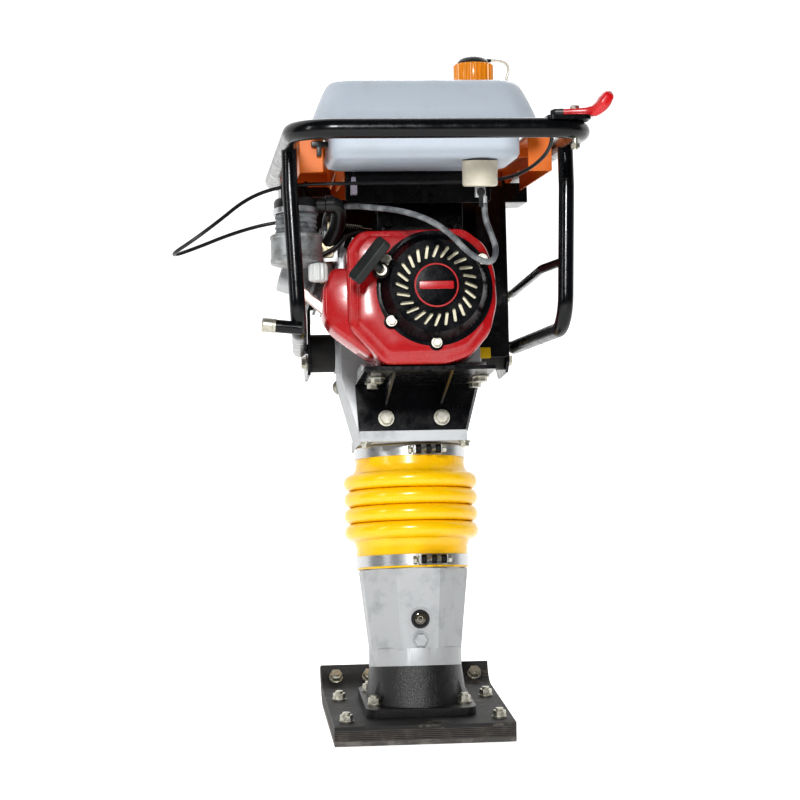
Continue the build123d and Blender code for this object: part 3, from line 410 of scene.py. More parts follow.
# ------------------------------------------------------------------ foot casting
# The grey-iron foot, sand cast with rounded corners and painted black. The high spots of its grain
# are rubbed to grey.
def black_iron():
    """Sand-cast grey iron in thin black paint: a coarse 1.5 mm grain, rubbed to grey on its high spots."""
    material, tree, place = begin("black_painted_sand_cast_iron")
    grain = noise(tree, place, 420.0, 5.0, 0.65)
    lumps = noise(tree, place, 60.0, 3.0)
    rubbed = ramp(tree, grain.outputs["Fac"], 0.6, 0.75, end=0.8)
    colour = mixed(tree, rubbed.outputs[0], linear("#111112"), linear("#4d4a47"))
    rise = add(tree, "ShaderNodeMath", {0: lumps.outputs["Fac"], 1: 0.8, 2: grain.outputs["Fac"]},
               operation="MULTIPLY_ADD")
    bump = bumped(tree, rise.outputs[0], 0.8, 0.0012)
    return surfaced(material, {
        "Base Color": colour.outputs[2], "Roughness": 0.3, "IOR": 1.6, "Normal": bump.outputs[0]})


cast_iron = black_iron()
softened("foot_casting", 0.0035, cast_iron, "leg", segments=3)


# ------------------------------------------------------------------ lower leg
# The aluminium leg: sand cast, shot-blasted and sprayed silver. Its eight-sided body stands on a
# round ring.
def silver_casting():
    """Sand-cast aluminium, shot-blasted and sprayed silver: an even 1 mm grain and faint grey handling
    marks."""
    material, tree, place = begin("silver_sprayed_cast_aluminium")
    grain = noise(tree, place, 700.0, 4.0, 0.6)
    mark = noise(tree, place, 28.0, 7.0, 0.65)
    darker_share = ramp(tree, mark.outputs["Fac"], 0.52, 0.78, end=0.55)
    colour = mixed(tree, darker_share.outputs[0], linear("#b4b6b8"), linear("#77797c"))
    rough = ramp(tree, mark.outputs["Fac"], start=0.38, end=0.58)
    bump = bumped(tree, grain.outputs["Fac"], 0.45, 0.0006)
    return surfaced(material, {
        "Base Color": colour.outputs[2], "Metallic": 0.35, "Roughness": rough.outputs[0],
        "Normal": bump.outputs[0]})


silver = silver_casting()
softened("lower_leg", 0.0030, silver, "leg", segments=3)


# ------------------------------------------------------------------ oil sight and drain plug
# A round window in a black bezel, and a hexagon plug. Both are screwed into bosses on the leg's
# rear facet.
LEAN = np.radians(11.0)


def leaned(points):
    """Leg's frame to world: a turn by the lean about X, then a shift back by 17, and mm to metres."""
    x, y, z = np.moveaxis(np.asarray(points, float), -1, 0)
    turned = np.stack([x, y * np.cos(LEAN) + z * np.sin(LEAN) - 17.0,
                       z * np.cos(LEAN) - y * np.sin(LEAN)], -1)
    return turned / 1000.0


def lathe(profile, centre, out, steps=48):
    """A profile of (radius, height) rows turned about the line from centre along out:
    centre + radius * (cos a * side + sin a * up) + height * out."""
    out = np.array(out, float) / np.linalg.norm(out)
    side = np.cross(out, (0.31, 0.52, 0.79) if abs(out[2]) > 0.9 else (0.0, 0.0, 1.0))
    side /= np.linalg.norm(side)
    up = np.cross(out, side)
    radius, height = np.array(profile, float).T
    turn = np.linspace(0, 2 * np.pi, steps, endpoint=False)
    ring = np.cos(turn)[:, None] * side + np.sin(turn)[:, None] * up
    return np.array(centre, float) + radius[:, None, None] * ring + height[:, None, None] * out


def piece(name, grids, material, body, caps=True, sharp=32.0):
    """One mesh from grids of points (rows, columns, 3) in metres. Each closes round its columns, and caps
    closes its first and last rows."""
    points, faces, start = [], [], 0
    for grid in grids:
        rows, columns = grid.shape[:2]
        index = start + np.arange(rows * columns).reshape(rows, columns)
        wrapped = np.concatenate([index, index[:, :1]], 1)
        quads = np.stack([wrapped[:-1, :-1], wrapped[:-1, 1:], wrapped[1:, 1:], wrapped[1:, :-1]], -1)
        faces += quads.reshape(-1, 4).tolist()
        if caps:
            faces += [index[0, ::-1].tolist(), index[-1].tolist()]
        points.append(grid.reshape(-1, 3))
        start += rows * columns
    mesh = bpy.data.meshes.new(name)
    mesh.from_pydata(np.concatenate(points).tolist(), [], faces)
    work = bmesh.new()
    work.from_mesh(mesh)
    bmesh.ops.remove_doubles(work, verts=work.verts, dist=0.000002)
    bmesh.ops.recalc_face_normals(work, faces=work.faces)
    work.to_mesh(mesh)
    work.free()
    mesh.materials.append(material)
    mesh.shade_smooth()
    mesh.set_sharp_from_angle(angle=np.radians(sharp))
    made = bpy.data.objects.new(name, mesh)
    bpy.context.scene.collection.objects.link(made)
    if body:
        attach(made, body)
    return made


def sight_glass():
    """Moulded clear nylon over dark oil: glossy, amber in its depth."""
    material, tree, place = begin("moulded_clear_nylon_sight")
    cloud = noise(tree, place, 260.0, 2.0)
    colour = mixed(tree, cloud.outputs["Fac"], linear("#2a2620"), linear("#57503f"))
    return surfaced(material, {
        "Base Color": colour.outputs[2], "Roughness": 0.06, "IOR": 1.53, "Coat Weight": 1.0,
        "Coat Roughness": 0.03})


def black_nylon(name, grit):
    """Injection-moulded glass-filled nylon: black, satin, with a fine spark-eroded grain."""
    material, tree, place = begin(name)
    grain = noise(tree, place, grit, 3.0)
    dust = noise(tree, place, 40.0, 6.0, 0.6)
    pale = ramp(tree, dust.outputs["Fac"], 0.55, 0.8, end=0.16)
    colour = mixed(tree, pale.outputs[0], linear("#0f1011"), linear("#3c3b39"))
    rough = ramp(tree, dust.outputs["Fac"], start=0.22, end=0.45)
    bump = bumped(tree, grain.outputs["Fac"], 0.25, 0.0003)
    return surfaced(material, {
        "Base Color": colour.outputs[2], "Roughness": rough.outputs[0], "IOR": 1.53,
        "Normal": bump.outputs[0]})


TILT = np.arctan(13.5 / 128.0)
OUT = np.array([0.0, -np.cos(TILT), -np.sin(TILT)])
SIGHT = np.array([2.0, -77.06, 170.0])
PLUG = np.array([2.0, -73.58, 137.0])
moulded_black = black_nylon("moulded_black_nylon", 1200.0)
bezel = lathe([(9.4, -6), (9.9, 0), (14.2, 0), (14.6, 1.2), (14.6, 4.2), (13.6, 5.2), (10.6, 5.2), (9.6, 4.0),
               (9.4, 1.6), (0.01, 1.6)], SIGHT, OUT, 56)
piece("oil_sight_bezel", [leaned(bezel)], moulded_black, "leg")
glass = lathe([(9.3, 1.7), (9.2, 2.8), (7.0, 3.5), (0.01, 3.9)], SIGHT, OUT, 40)
sight = piece("oil_sight_glass", [leaned(glass)], sight_glass(), "leg")
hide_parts("oil_sight")
ring_points = lathe([(3.4, 3.4), (3.9, 4.0), (4.6, 4.0), (5.0, 3.3)], SIGHT, OUT, 30)
bolt_zinc = zinc_plate("bright_zinc_plated_steel", 0.35)
piece("oil_sight_target", [leaned(ring_points)], bolt_zinc, "leg")
boss = [lathe([(20.5, -4), (19.5, -0.2), (18.6, 0.5), (14.7, 0.5), (14.7, -4)], SIGHT, OUT, 56),
        lathe([(15.0, -4), (14.2, -0.2), (13.4, 0.5), (6.2, 0.5), (6.2, -4)], PLUG, OUT, 48)]
piece("leg_bosses", [leaned(grid) for grid in boss], silver, "leg")
plug = [lathe([(5.8, -7), (5.8, 0.6), (11.4, 0.7), (11.4, 6.0), (10.2, 7.6), (0.01, 7.6)], PLUG, OUT, 6),
        lathe([(5.0, 0.5), (12.6, 0.5), (12.6, 1.9), (5.0, 1.9)], PLUG, OUT, 40)]
plug_piece = piece("drain_plug_head", [leaned(grid) for grid in plug], silver, "leg")
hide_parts("drain_plug")


# ------------------------------------------------------------------ spring cylinder, cap, rod and piston
# The ram's inside, of turned and ground steel with a film of oil: a closed tube in the leg, its
# guide cap, and the rod with its spring plate.
def dressed(node, material):
    """Gives a carried-over CAD node its real finish."""
    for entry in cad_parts[node].material_slots:
        entry.material = material


def ground_steel(name, tint, roughness):
    """Turned and ground steel: fine rings 0.5 mm apart and a thin film of oil."""
    material, tree, place = begin(name)
    fine = noise(tree, place, 500.0, 2.0)
    film = noise(tree, place, 30.0, 5.0)
    colour = mixed(tree, film.outputs["Fac"], linear(tint), linear("#8d8a84"))
    rough = ramp(tree, fine.outputs["Fac"], start=roughness - 0.08, end=roughness + 0.1)
    bump = bumped(tree, fine.outputs["Fac"], 0.1, 0.0002)
    return surfaced(material, {
        "Base Color": colour.outputs[2], "Metallic": 1.0, "Roughness": rough.outputs[0],
        "Normal": bump.outputs[0]})


oiled_steel = ground_steel("oiled_ground_steel", "#c4c4c2", 0.25)
for inner in ("spring_cylinder", "cylinder_cap", "piston_rod", "piston", "guide_tube"):
    dressed(inner, oiled_steel)


# ------------------------------------------------------------------ ram springs
# Two coil springs of 15 mm wire, cold coiled and shot-peened. One stands each side of the spring
# plate.
def peened_steel():
    """Shot-peened spring steel: dark grey with a dimpled 0.5 mm grain."""
    material, tree, place = begin("shot_peened_spring_steel")
    dimple = add(tree, "ShaderNodeTexVoronoi", {"Vector": place, "Scale": 1400.0})
    bump = bumped(tree, dimple.outputs["Distance"], 0.35, 0.0002)
    colour = mixed(tree, dimple.outputs["Distance"], linear("#4a4b4d"), linear("#77787a"))
    return surfaced(material, {
        "Base Color": colour.outputs[2], "Metallic": 0.95, "Roughness": 0.42, "Normal": bump.outputs[0]})


spring_steel = peened_steel()


def coil(low, high, turns, coil_radius, wire_radius):
    """A helix carrying a round wire: centre (R cos t, R sin t, low to high), and the wire's circle lies
    across it."""
    along = np.linspace(0, 1, int(turns * 40))
    turn = along * turns * 2 * np.pi
    wire = np.linspace(0, 2 * np.pi, 12, endpoint=False)
    reach = coil_radius + wire_radius * np.cos(wire)[None, :]
    height = low + wire_radius + along[:, None] * (high - low - 2 * wire_radius)
    return np.stack([reach * np.cos(turn)[:, None], reach * np.sin(turn)[:, None],
                     height + wire_radius * np.sin(wire)[None, :]], -1)


for node, low, high, turns, pair in (("lower_spring", 122.3, 214.6, 4.2, ("leg", "piston_unit")),
                                     ("upper_spring", 235.4, 330.7, 4.2, ("piston_unit", "leg"))):
    spring = piece(node + "_coil", [leaned(coil(low, high, turns, 44.0, 7.5))], spring_steel, None)
    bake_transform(spring)
    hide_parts(node)


# ------------------------------------------------------------------ bellows
# The bellows that keeps dirt off the sliding cylinder: yellow polyurethane, moulded with four round
# rings, and clamped at both necks.
def yellow_polyurethane():
    """Moulded polyurethane: bright glossy yellow, with painted shade in blotches, warmer and darker in the
    grooves.
    """
    material, tree, place = begin("moulded_yellow_polyurethane")
    # Painted shade: the groove weight times a blotchy noise mixes in a dark orange.
    groove = add(tree, "ShaderNodeAttribute", attribute_name="groove_shade")
    blotch_noise = noise(tree, place, 35.0, 6.0, 0.6)
    darker_share = times(tree, groove.outputs["Fac"], blotch_noise.outputs["Fac"])
    share = ramp(tree, darker_share.outputs[0], 0.12, 0.62, end=0.8)
    colour = mixed(tree, share.outputs[0], linear("#f7c400"), linear("#b9780a"))
    rough = ramp(tree, blotch_noise.outputs["Fac"], start=0.2, end=0.38)
    orange = noise(tree, place, 160.0, 2.0)
    bump = bumped(tree, orange.outputs["Fac"], 0.12, 0.0008)
    return surfaced(material, {
        "Base Color": colour.outputs[2], "Roughness": rough.outputs[0], "IOR": 1.5, "Coat Weight": 0.35,
        "Coat Roughness": 0.12, "Subsurface Weight": 0.06, "Subsurface Scale": 0.004,
        "Normal": bump.outputs[0]})


def bellows_profile(wall):
    """(radius, height) up one side: a flared neck, four half circles of 13.3 on a 95.7 wall, a flared
    neck."""
    turn = np.linspace(-1, 1, 25) * np.pi / 2 * 0.94
    rings = [np.stack([95.9 - wall + 13.1 * np.cos(turn), centre + 13.35 * np.sin(turn) / np.sin(turn[-1])],
                      -1)
             for centre in (313.0, 339.7, 366.4, 393.1)]
    low = np.array([(90.4, 252.0), (90.5, 253.0), (90.5, 284.0), (91.2, 290.0), (93.2, 296.0), (95.4, 299.0)])
    high = np.array([(95.2, 407.0), (92.6, 410.5), (89.9, 415.0), (89.1, 421.0), (89.0, 448.0),
                     (88.9, 449.0)])
    return np.concatenate([low - (wall, 0), *rings, high - (wall, 0)])


outside = bellows_profile(0.0)
inside = bellows_profile(3.6)[::-1]
profile = np.concatenate([outside, inside, outside[:1]])
bellows = piece("bellows_rings", [leaned(lathe(profile, (0, 0, 0), (0, 0, 1), 112))], yellow_polyurethane(),
                None,
                caps=False, sharp=60.0)
points = np.zeros(len(bellows.data.vertices) * 3)
bellows.data.vertices.foreach_get("co", points)
points = points.reshape(-1, 3) * 1000 + (0, 17.0, 0)
# The weight of the painted shade: it rises to 1 at the bottoms of the ring grooves and is 0.35 above and
# below the rings.
radius = np.hypot(points[:, 0], points[:, 1] * np.cos(LEAN) - points[:, 2] * np.sin(LEAN))
height = points[:, 1] * np.sin(LEAN) + points[:, 2] * np.cos(LEAN)
inner_rows = (height > 300) & (height < 406)
depth = np.where(inner_rows, np.clip((109.0 - radius) / 13.0, 0, 1) ** 2, 0.35)
groove = bellows.data.attributes.new("groove_shade", "FLOAT", "POINT")
groove.data.foreach_set("value", depth.astype(np.float32))
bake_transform(bellows)
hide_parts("bellows")


# ------------------------------------------------------------------ bellows clamps
# Stainless bands with folded lugs round the bellows' necks. One long screw with a hexagon head and a
# nut draws each band tight.
def stainless_band():
    """Rolled stainless strip: bright, with fine lines round the band."""
    material, tree, place = begin("rolled_stainless_strip")
    stretch = add(tree, "ShaderNodeMapping", {"Vector": place, "Scale": (1.0, 1.0, 30.0)})
    line = noise(tree, stretch.outputs[0], 60.0, 3.0)
    rough = ramp(tree, line.outputs["Fac"], start=0.2, end=0.42)
    colour = mixed(tree, line.outputs["Fac"], linear("#b9babb"), linear("#d8d9da"))
    return surfaced(material, {
        "Base Color": colour.outputs[2], "Metallic": 1.0, "Roughness": rough.outputs[0]})


stainless = stainless_band()
softened("lower_clamp", 0.0004, stainless, "leg")
softened("upper_clamp", 0.0004, stainless, "upper")


def oxide_steel():
    """Turned steel, chemically blackened and oiled: near black, satin."""
    material, tree, place = begin("blackened_turned_steel")
    oil = noise(tree, place, 120.0, 4.0)
    rough = ramp(tree, oil.outputs["Fac"], start=0.22, end=0.42)
    return surfaced(material, {
        "Base Color": linear("#2b2a29"), "Metallic": 0.9, "Roughness": rough.outputs[0]})


dark_oxide = oxide_steel()


def thread(length, radius, pitch):
    """A screw's (radius, height) profile: ridges of a tenth of the pitch's depth, one each pitch."""
    height = np.arange(0, length, pitch / 2)
    return np.stack([radius - 0.45 * (np.arange(len(height)) % 2), height], -1)


for body, label, middle, depth, start_x in (("leg", "lower", 264.0, -96.5, -3.0),
                                            ("upper", "upper", 439.5, -95.15, -7.0)):
    across = (1, 0, 0)
    screw = [lathe(thread(54.0, 3.4, 1.5), (start_x, depth, middle), across, 18),
             lathe([(6.4, 0), (6.4, 4.6), (5.4, 5.4)], (start_x - 5.0, depth, middle), across, 6),
             lathe([(7.0, 0), (7.0, 1.2)], (start_x + 2.8, depth, middle), across, 24),
             lathe([(6.4, 0), (6.4, 5.0), (5.4, 5.8)], (start_x + 50.6, depth, middle), across, 6)]
    piece(label + "_clamp_screw", [leaned(grid) for grid in screw], bolt_zinc, body)
    barrels = [lathe([(6.2, 0), (7.4, 0.8), (7.4, 8.2), (6.2, 9)], (start_x + 7, depth - 1.5, middle),
                     across, 28),
               lathe([(6.2, 0), (7.4, 0.8), (7.4, 7.2), (6.2, 8)], (start_x + 24, depth - 1.5, middle),
                     across, 28),
               lathe([(6.2, 0), (7.4, 0.8), (7.4, 8.2), (6.2, 9)], (start_x + 39, depth - 1.5, middle),
                     across, 28)]
    piece(label + "_clamp_barrels", [leaned(grid) for grid in barrels], dark_oxide, body)


# ------------------------------------------------------------------ crankcase and its cover
# The gear case: sand-cast aluminium, sprayed silver like the leg. Its bolted front cover is of the
# same metal.
softened("crankcase", 0.0030, silver, "upper", segments=3)
softened("crankcase_cover", 0.0025, silver, "upper", segments=3)
polished = ground_steel("polished_bearing_steel", "#d4d4d2", 0.14)
dressed("shaft_bearings", polished)

# ------------------------------------------------------------------ crank gear, rod and clutch
# Hardened steel gears, a forged connecting rod and a pressed clutch drum. All are wet with oil, and
# none is seen from outside.
gear_steel = ground_steel("hardened_gear_steel", "#a9aaab", 0.3)
for inner in ("crank_gear", "connecting_rod", "clutch_drum"):
    dressed(inner, gear_steel)
dressed("clutch_shoes", cast_iron)
softened("clutch_housing", 0.0015, silver, "upper")


# ------------------------------------------------------------------ engine bracket
# A folded and welded steel shelf with two gussets, baked in black enamel. It is bolted to the
# crankcase and carries the engine.
def black_enamel(name, scuffed, gloss=0.36):
    """Baked black enamel on steel: glossy, a soft orange peel of about 4 mm, and small grey scuffs."""
    material, tree, place = begin(name)
    peel = noise(tree, place, 230.0, 1.0)
    scuff = noise(tree, place, 48.0, 9.0, 0.72)
    rubbed = ramp(tree, scuff.outputs["Fac"], 0.64, 0.74, end=scuffed)
    colour = mixed(tree, rubbed.outputs[0], linear("#0b0c0f"), linear("#4d4c4a"))
    rough = ramp(tree, scuff.outputs["Fac"], 0.3, 0.75, 0.1, 0.38)
    bump = bumped(tree, peel.outputs["Fac"], 0.1, 0.0006)
    return surfaced(material, {
        "Base Color": colour.outputs[2], "Roughness": rough.outputs[0], "IOR": 1.5,
        "Specular IOR Level": gloss, "Normal": bump.outputs[0]})


enamel = black_enamel("baked_black_enamel", 0.45)
softened("engine_bracket", 0.0008, enamel, "upper")

# ------------------------------------------------------------------ machine bolts
# M10 bolts with plain washers. They hold the bracket, the engine, the front cover and the rubber
# mounts.
softened("hex_bolts", 0.0006, bolt_zinc, "upper")


# ------------------------------------------------------------------ rubber mounts and side plates
# Four blocks of natural rubber carry the handle's two pressed side plates and their brace. The
# plates' folds, a yellow reflector and flange bolts are added here.
def moulded_plastic(name, colour, dusty, roughness, pebble, coat=0.0):
    """Moulded plastic: an even colour with faint dust, a pebble grain and a satin skin."""
    material, tree, place = begin(name)
    dust = noise(tree, place, 28.0, 8.0, 0.62)
    share = ramp(tree, dust.outputs["Fac"], 0.5, 0.85, end=0.55)
    tone = mixed(tree, share.outputs[0], linear(colour), linear(dusty))
    rough = ramp(tree, dust.outputs["Fac"], start=roughness - 0.06, end=roughness + 0.12)
    grain = noise(tree, place, pebble, 2.0)
    bump = bumped(tree, grain.outputs["Fac"], 0.16, 0.0004)
    return surfaced(material, {
        "Base Color": tone.outputs[2], "Roughness": rough.outputs[0], "IOR": 1.5, "Coat Weight": coat,
        "Coat Roughness": 0.15, "Normal": bump.outputs[0]})


def rounded_rows(rows, steps=9):
    """Rounded rectangles stacked up z, one for each row (x_low, x_high, y_low, y_high, corner, z): four
    quarter circles of the corner's radius about centres set in by it."""
    x_low, x_high, y_low, y_high, corner, z = np.array(rows, float).T[:, :, None]
    quarter = np.linspace(0, np.pi / 2, steps)
    turn = np.concatenate([quarter + k * np.pi / 2 for k in range(4)])
    right = np.repeat([1, 0, 0, 1], steps)
    back = np.repeat([1, 1, 0, 0], steps)
    x = np.where(right, x_high - corner, x_low + corner) + corner * np.cos(turn)
    y = np.where(back, y_high - corner, y_low + corner) + corner * np.sin(turn)
    return np.stack([x, y, np.broadcast_to(z, x.shape)], -1)


def slab(low, high, corner, edge, axis=2, turn=0.0):
    """A rounded box between two corners: its thickness runs along the axis, its rims are rounded by edge,
    and it
    is turned about y through its middle by turn degrees."""
    order = {2: (0, 1, 2), 1: (0, 2, 1), 0: (1, 2, 0)}[axis]
    a, b = np.array(low, float)[list(order)], np.array(high, float)[list(order)]
    bend = np.linspace(0, np.pi / 2, 5)
    inset = np.concatenate([edge * (1 - np.sin(bend)), edge * (1 - np.cos(bend))])
    level = np.concatenate([a[2] + edge * (1 - np.cos(bend)), b[2] - edge * (1 - np.sin(bend))])
    rows = [(a[0] + i, b[0] - i, a[1] + i, b[1] - i, max(corner - i, 0.05), z) for i, z in zip(inset, level)]
    grid = rounded_rows(rows)[..., np.argsort(order)]
    middle = (np.array(low, float) + np.array(high, float)) / 2
    c, s = np.cos(np.radians(turn)), np.sin(np.radians(turn))
    return (grid - middle) @ np.array([[c, 0, -s], [0, 1, 0], [s, 0, c]]) + middle


def mount_rubber():
    """Moulded natural rubber: matt black with a grey bloom."""
    material, tree, place = begin("moulded_natural_rubber")
    bloom = noise(tree, place, 50.0, 6.0)
    colour = mixed(tree, bloom.outputs["Fac"], linear("#141414"), linear("#2b2a29"))
    bump = bumped(tree, bloom.outputs["Fac"], 0.2, 0.0006)
    return surfaced(material, {
        "Base Color": colour.outputs[2], "Roughness": 0.78, "IOR": 1.52, "Normal": bump.outputs[0]})


rubber = mount_rubber()
softened("rubber_mounts", 0.0020, rubber, "upper")
for plate in ("side_plate_left", "side_plate_right", "cross_plate"):
    softened(plate, 0.0010, enamel, "upper")

# Folded rear edges stiffen the plates, two bolts hang through the crankcase's flange, and a plain
# yellow reflector is stuck on the right-hand fold.
folds = [slab((114, -47, 592), (163, -43.5, 876), 6, 1, axis=1),
         slab((-163, -47, 700), (-122, -43.5, 876), 6, 1, axis=1)]
piece("plate_folds", [leaned(grid) for grid in folds], enamel, "upper")
reflector = slab((115, -48.4, 590), (133, -47, 608), 2, 0.4, axis=1)
piece("yellow_reflector", [leaned(reflector)], moulded_plastic("printed_yellow_film", "#d9b40c", "#b59a2a",
                                                               0.4, 900.0),
      "upper")
flange_bolts = []
for x in (-79, 79):
    flange_bolts += [lathe([(10, 0), (10, 2)], (x, -99, 451), (0, 0, -1), 28),
                     lathe([(7.6, 2), (7.6, 8), (6.6, 9)], (x, -99, 451), (0, 0, -1), 6)]
piece("flange_bolts", [leaned(grid) for grid in flange_bolts], bolt_zinc, "upper")

# ------------------------------------------------------------------ handle and guards
# One bent steel tube of 28 mm all round, and two thinner guard tubes welded under its rails. A cap
# closes the guard's stub, and the stop switch's wire ends in a connector.
tube_enamel = black_enamel("glossy_black_tube_enamel", 0.3)
for tube in ("handle_loop", "guard_left", "guard_right"):
    softened(tube, 0.0008, tube_enamel, "upper")
STUB_OUT = (-0.9945, 0.0, 0.1045)
stub_cap = lathe([(9.6, 38), (10.3, 38.6), (10.3, 42), (9.9, 42.6), (10.3, 43.2), (10.3, 57), (9.2, 58.4),
                  (0.01, 58.4)],
                 (-193, -387, 594), STUB_OUT, 40)
piece("guard_stub_cap", [leaned(stub_cap)], bolt_zinc, "upper")
wire_points = leaned([(-98, -262, 858), (-100, -268, 855), (-102, -271, 851), (-102, -270, 842)])
stop_wire = cord_line("stop_switch_wire", wire_points, 0.003, black_sleeve)
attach(stop_wire, "upper")
connector = [slab((-107, -276, 817), (-97, -264, 831), 2, 1), slab((-105.5, -274.5, 829),
                                                                   (-98.5, -265.5, 844), 2, 1)]
piece("stop_switch_connector", [leaned(grid) for grid in connector],
      moulded_plastic("moulded_white_nylon", "#d3cede", "#b3aebc", 0.35, 900.0), "upper")


# ------------------------------------------------------------------ orange hood
# Rotomoulded polyethylene hood over the handle's front half. Its ear beside the tank carries a raised
# box with a black stud, and a bolted black wall closes its rear end between the rails.
orange = moulded_plastic("rotomoulded_orange_polyethylene", "#cf6812", "#b3743c", 0.36, 600.0, 0.1)
softened("hood", 0.0022, orange, "upper", segments=3)
ear = [slab((-189, 206, 12), (-150, 326, 26), 9, 4), slab((-176, 216, 24), (-150, 300, 34), 8, 4),
       slab((-112, 332, 10), (150, 420, 19), 14, 5), slab((156, 206, 12), (189, 320, 20), 9, 4)]
piece("hood_ear", [railed(grid) for grid in ear], orange, "upper")
wall = [slab((-113, 318, -76), (113, 321, 9), 8, 1, axis=1)]
wall_bolts = [grid for x, z in ((-98, -58), (-64, -58), (-10, -59), (21, -58), (-32, -70), (21, -70))
              for grid in (lathe([(8, 0), (8, 1.2)], (x, 318, z), (0, -1, 0), 24),
                           lathe([(5.8, 1), (5.8, 5), (4.8, 5.8)], (x, 318, z), (0, -1, 0), 6))]
piece("hood_rear_wall", [railed(grid) for grid in wall], enamel, "upper")
piece("wall_bolts", [railed(grid) for grid in wall_bolts], dark_oxide, "upper")
stud = [lathe([(7.5, 0), (7.5, 3.5), (6.0, 5.0), (3.0, 5.2), (2.6, 3.6), (0.01, 3.6)], (-168, 232, 33),
              (0, 0, 1), 36),
        slab((-186, 222, 25), (-174, 262, 30), 3, 1.5)]
stud += [slab((-172, 192, -3), (-146, 199.5, 5), 2, 1, axis=1),
         slab((-164, 193, -17), (-157, 199, -2), 2, 1, axis=1)]
piece("hood_stud", [railed(grid) for grid in stud], moulded_black, "upper")

# ------------------------------------------------------------------ fuel tank
# Blow-moulded natural polyethylene: a deep lower box, a flange at the parting line and a tapered top.
# It hangs between the rails on four studs.
tank_white = moulded_plastic("blow_moulded_polyethylene", "#b3bcc6", "#a9adb0", 0.34, 320.0, 0.05)
skin = [(-147 + 12, 131 - 12, 116, 288, 24, -30), (-147 + 4, 131 - 4, 108, 296, 31, -28),
        (-147, 131, 104, 300, 34, -22),
        (-147, 131, 104, 300, 34, 18), (-172, 156, 94, 310, 38, 20), (-174.6, 158.6, 91.5, 312.5, 40, 22),
        (-174.6, 158.6, 91.5, 312.5, 40, 25.4), (-172.5, 156.5, 94, 310.5, 39, 27.5),
        (-168, 152, 99, 306, 38, 40),
        (-162, 146, 108, 300, 37, 56), (-156, 140, 117, 293, 36, 70), (-151.5, 135.5, 124, 288, 34, 79),
        (-146, 130, 131, 283, 31, 85), (-138, 122, 140, 276, 27, 88.2), (-126, 110, 152, 266, 22, 89.6),
        (-90, 74, 178, 240, 16, 90.4)]
tank = piece("fuel_tank_shell", [railed(rounded_rows(skin, 14))], tank_white, "upper",
             sharp=48.0)
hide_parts("fuel_tank")
neck = [lathe([(27, -3), (24.5, 1.0), (20.4, 1.6), (20.2, 14), (16.2, 14.2), (16.0, 0)], (76, 222, 88),
              (0, 0, 1), 48),
        lathe([(7, -3), (5.0, 0.6), (2.4, 1.2), (2.2, 9), (1.2, 9)], (126, 222, 88), (0, 0, 1), 28)]
piece("tank_neck", [railed(grid) for grid in neck], tank_white, "upper")
tank_studs = [lathe([(8, -8), (8, -1), (5, 0), (5, 4), (4, 5), (0.01, 5)], (x, y, 29), (0, 0, 1), 24)
              for x in (-160, 146) for y in (130, 276)]
piece("tank_studs", [railed(grid) for grid in tank_studs], moulded_black, "upper")

# ------------------------------------------------------------------ filler cap
# A ribbed ring of amber polypropylene that screws on the neck. Its domed middle stays still and
# takes the vent.
amber = moulded_plastic("moulded_amber_polypropylene", "#e08a12", "#b9803a", 0.28, 500.0, 0.3)
ring = lathe([(20.6, 2), (27.4, 2), (28.6, 3.2), (28.6, 33.0), (26.6, 35.6), (21.0, 36.0), (20.4, 34),
              (20.4, 2)],
             (76, 222, 88), (0, 0, 1), 288)
offset = ring - np.array([76, 222, 0])
rib = 1 + 0.045 * np.clip(np.cos(24 * np.arctan2(offset[..., 1], offset[..., 0])) * 1.6, -0.4, 1)
flute = np.where((np.hypot(offset[..., 0], offset[..., 1]) > 27) & (offset[..., 2] > 91), rib, 1.0)
ring[..., :2] = np.array([76, 222]) + offset[..., :2] * flute[..., None]
cap_ring = piece("cap_ring", [railed(ring)], amber, "filler_cap", caps=False)
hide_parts("tank_cap")
vent = [lathe([(19.8, 8), (19.8, 34), (19.6, 36.2), (23.6, 36.6), (24.0, 37.8), (20, 42.5), (13, 45.6),
               (0.01, 46.6)],
              (76, 222, 88), (0, 0, 1), 64),
        lathe([(3.2, 0), (3.0, 10), (2.5, 11), (2.5, 27)], (76, 222, 129), (1, 0, 0), 20)]
vent_piece = piece("cap_dome", [railed(grid) for grid in vent], moulded_black, "upper")
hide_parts("cap_vent")

# ------------------------------------------------------------------ sediment bowl and fuel tap
# A cream acetal bowl under the tank that catches dirt, and a die-cast tap. The tap's black lever
# turns on its own.
cream = moulded_plastic("moulded_cream_acetal", "#cdc7b6", "#9b927c", 0.34, 900.0)
softened("fuel_bowl", 0.0018, cream, "upper", segments=3)
softened("petcock_body", 0.0008, silver, "upper")
softened("petcock_lever", 0.0006, moulded_black, "fuel_tap")

# ------------------------------------------------------------------ throttle lever
# A red nylon lever on the handle's corner tab. A flat arm with a black tip widens past the pivot into a
# dished thumb piece. Its zinc bolt has a spring washer and a nut below the tab.
def swept(path, across, widths, thicknesses, columns=28):
    """A bar along a path: each row is a rounded section, width * |cos|^0.6 along the across line and
    thickness *
    |sin|^0.6 along the path's normal."""
    path = np.array(path, float)
    forward = np.gradient(path, axis=0)
    forward /= np.linalg.norm(forward, axis=1, keepdims=True)
    side = np.broadcast_to(np.array(across, float), path.shape)
    side = side - (side * forward).sum(1, keepdims=True) * forward
    side /= np.linalg.norm(side, axis=1, keepdims=True)
    rise = np.cross(side, forward)
    turn = np.linspace(0, 2 * np.pi, columns, endpoint=False)
    u = np.sign(np.cos(turn)) * np.abs(np.cos(turn)) ** 0.6 / 2
    v = np.sign(np.sin(turn)) * np.abs(np.sin(turn)) ** 0.6 / 2
    return (path[:, None] + np.array(widths)[:, None, None] * u[:, None] * side[:, None]
            + np.array(thicknesses)[:, None, None] * v[:, None] * rise[:, None])


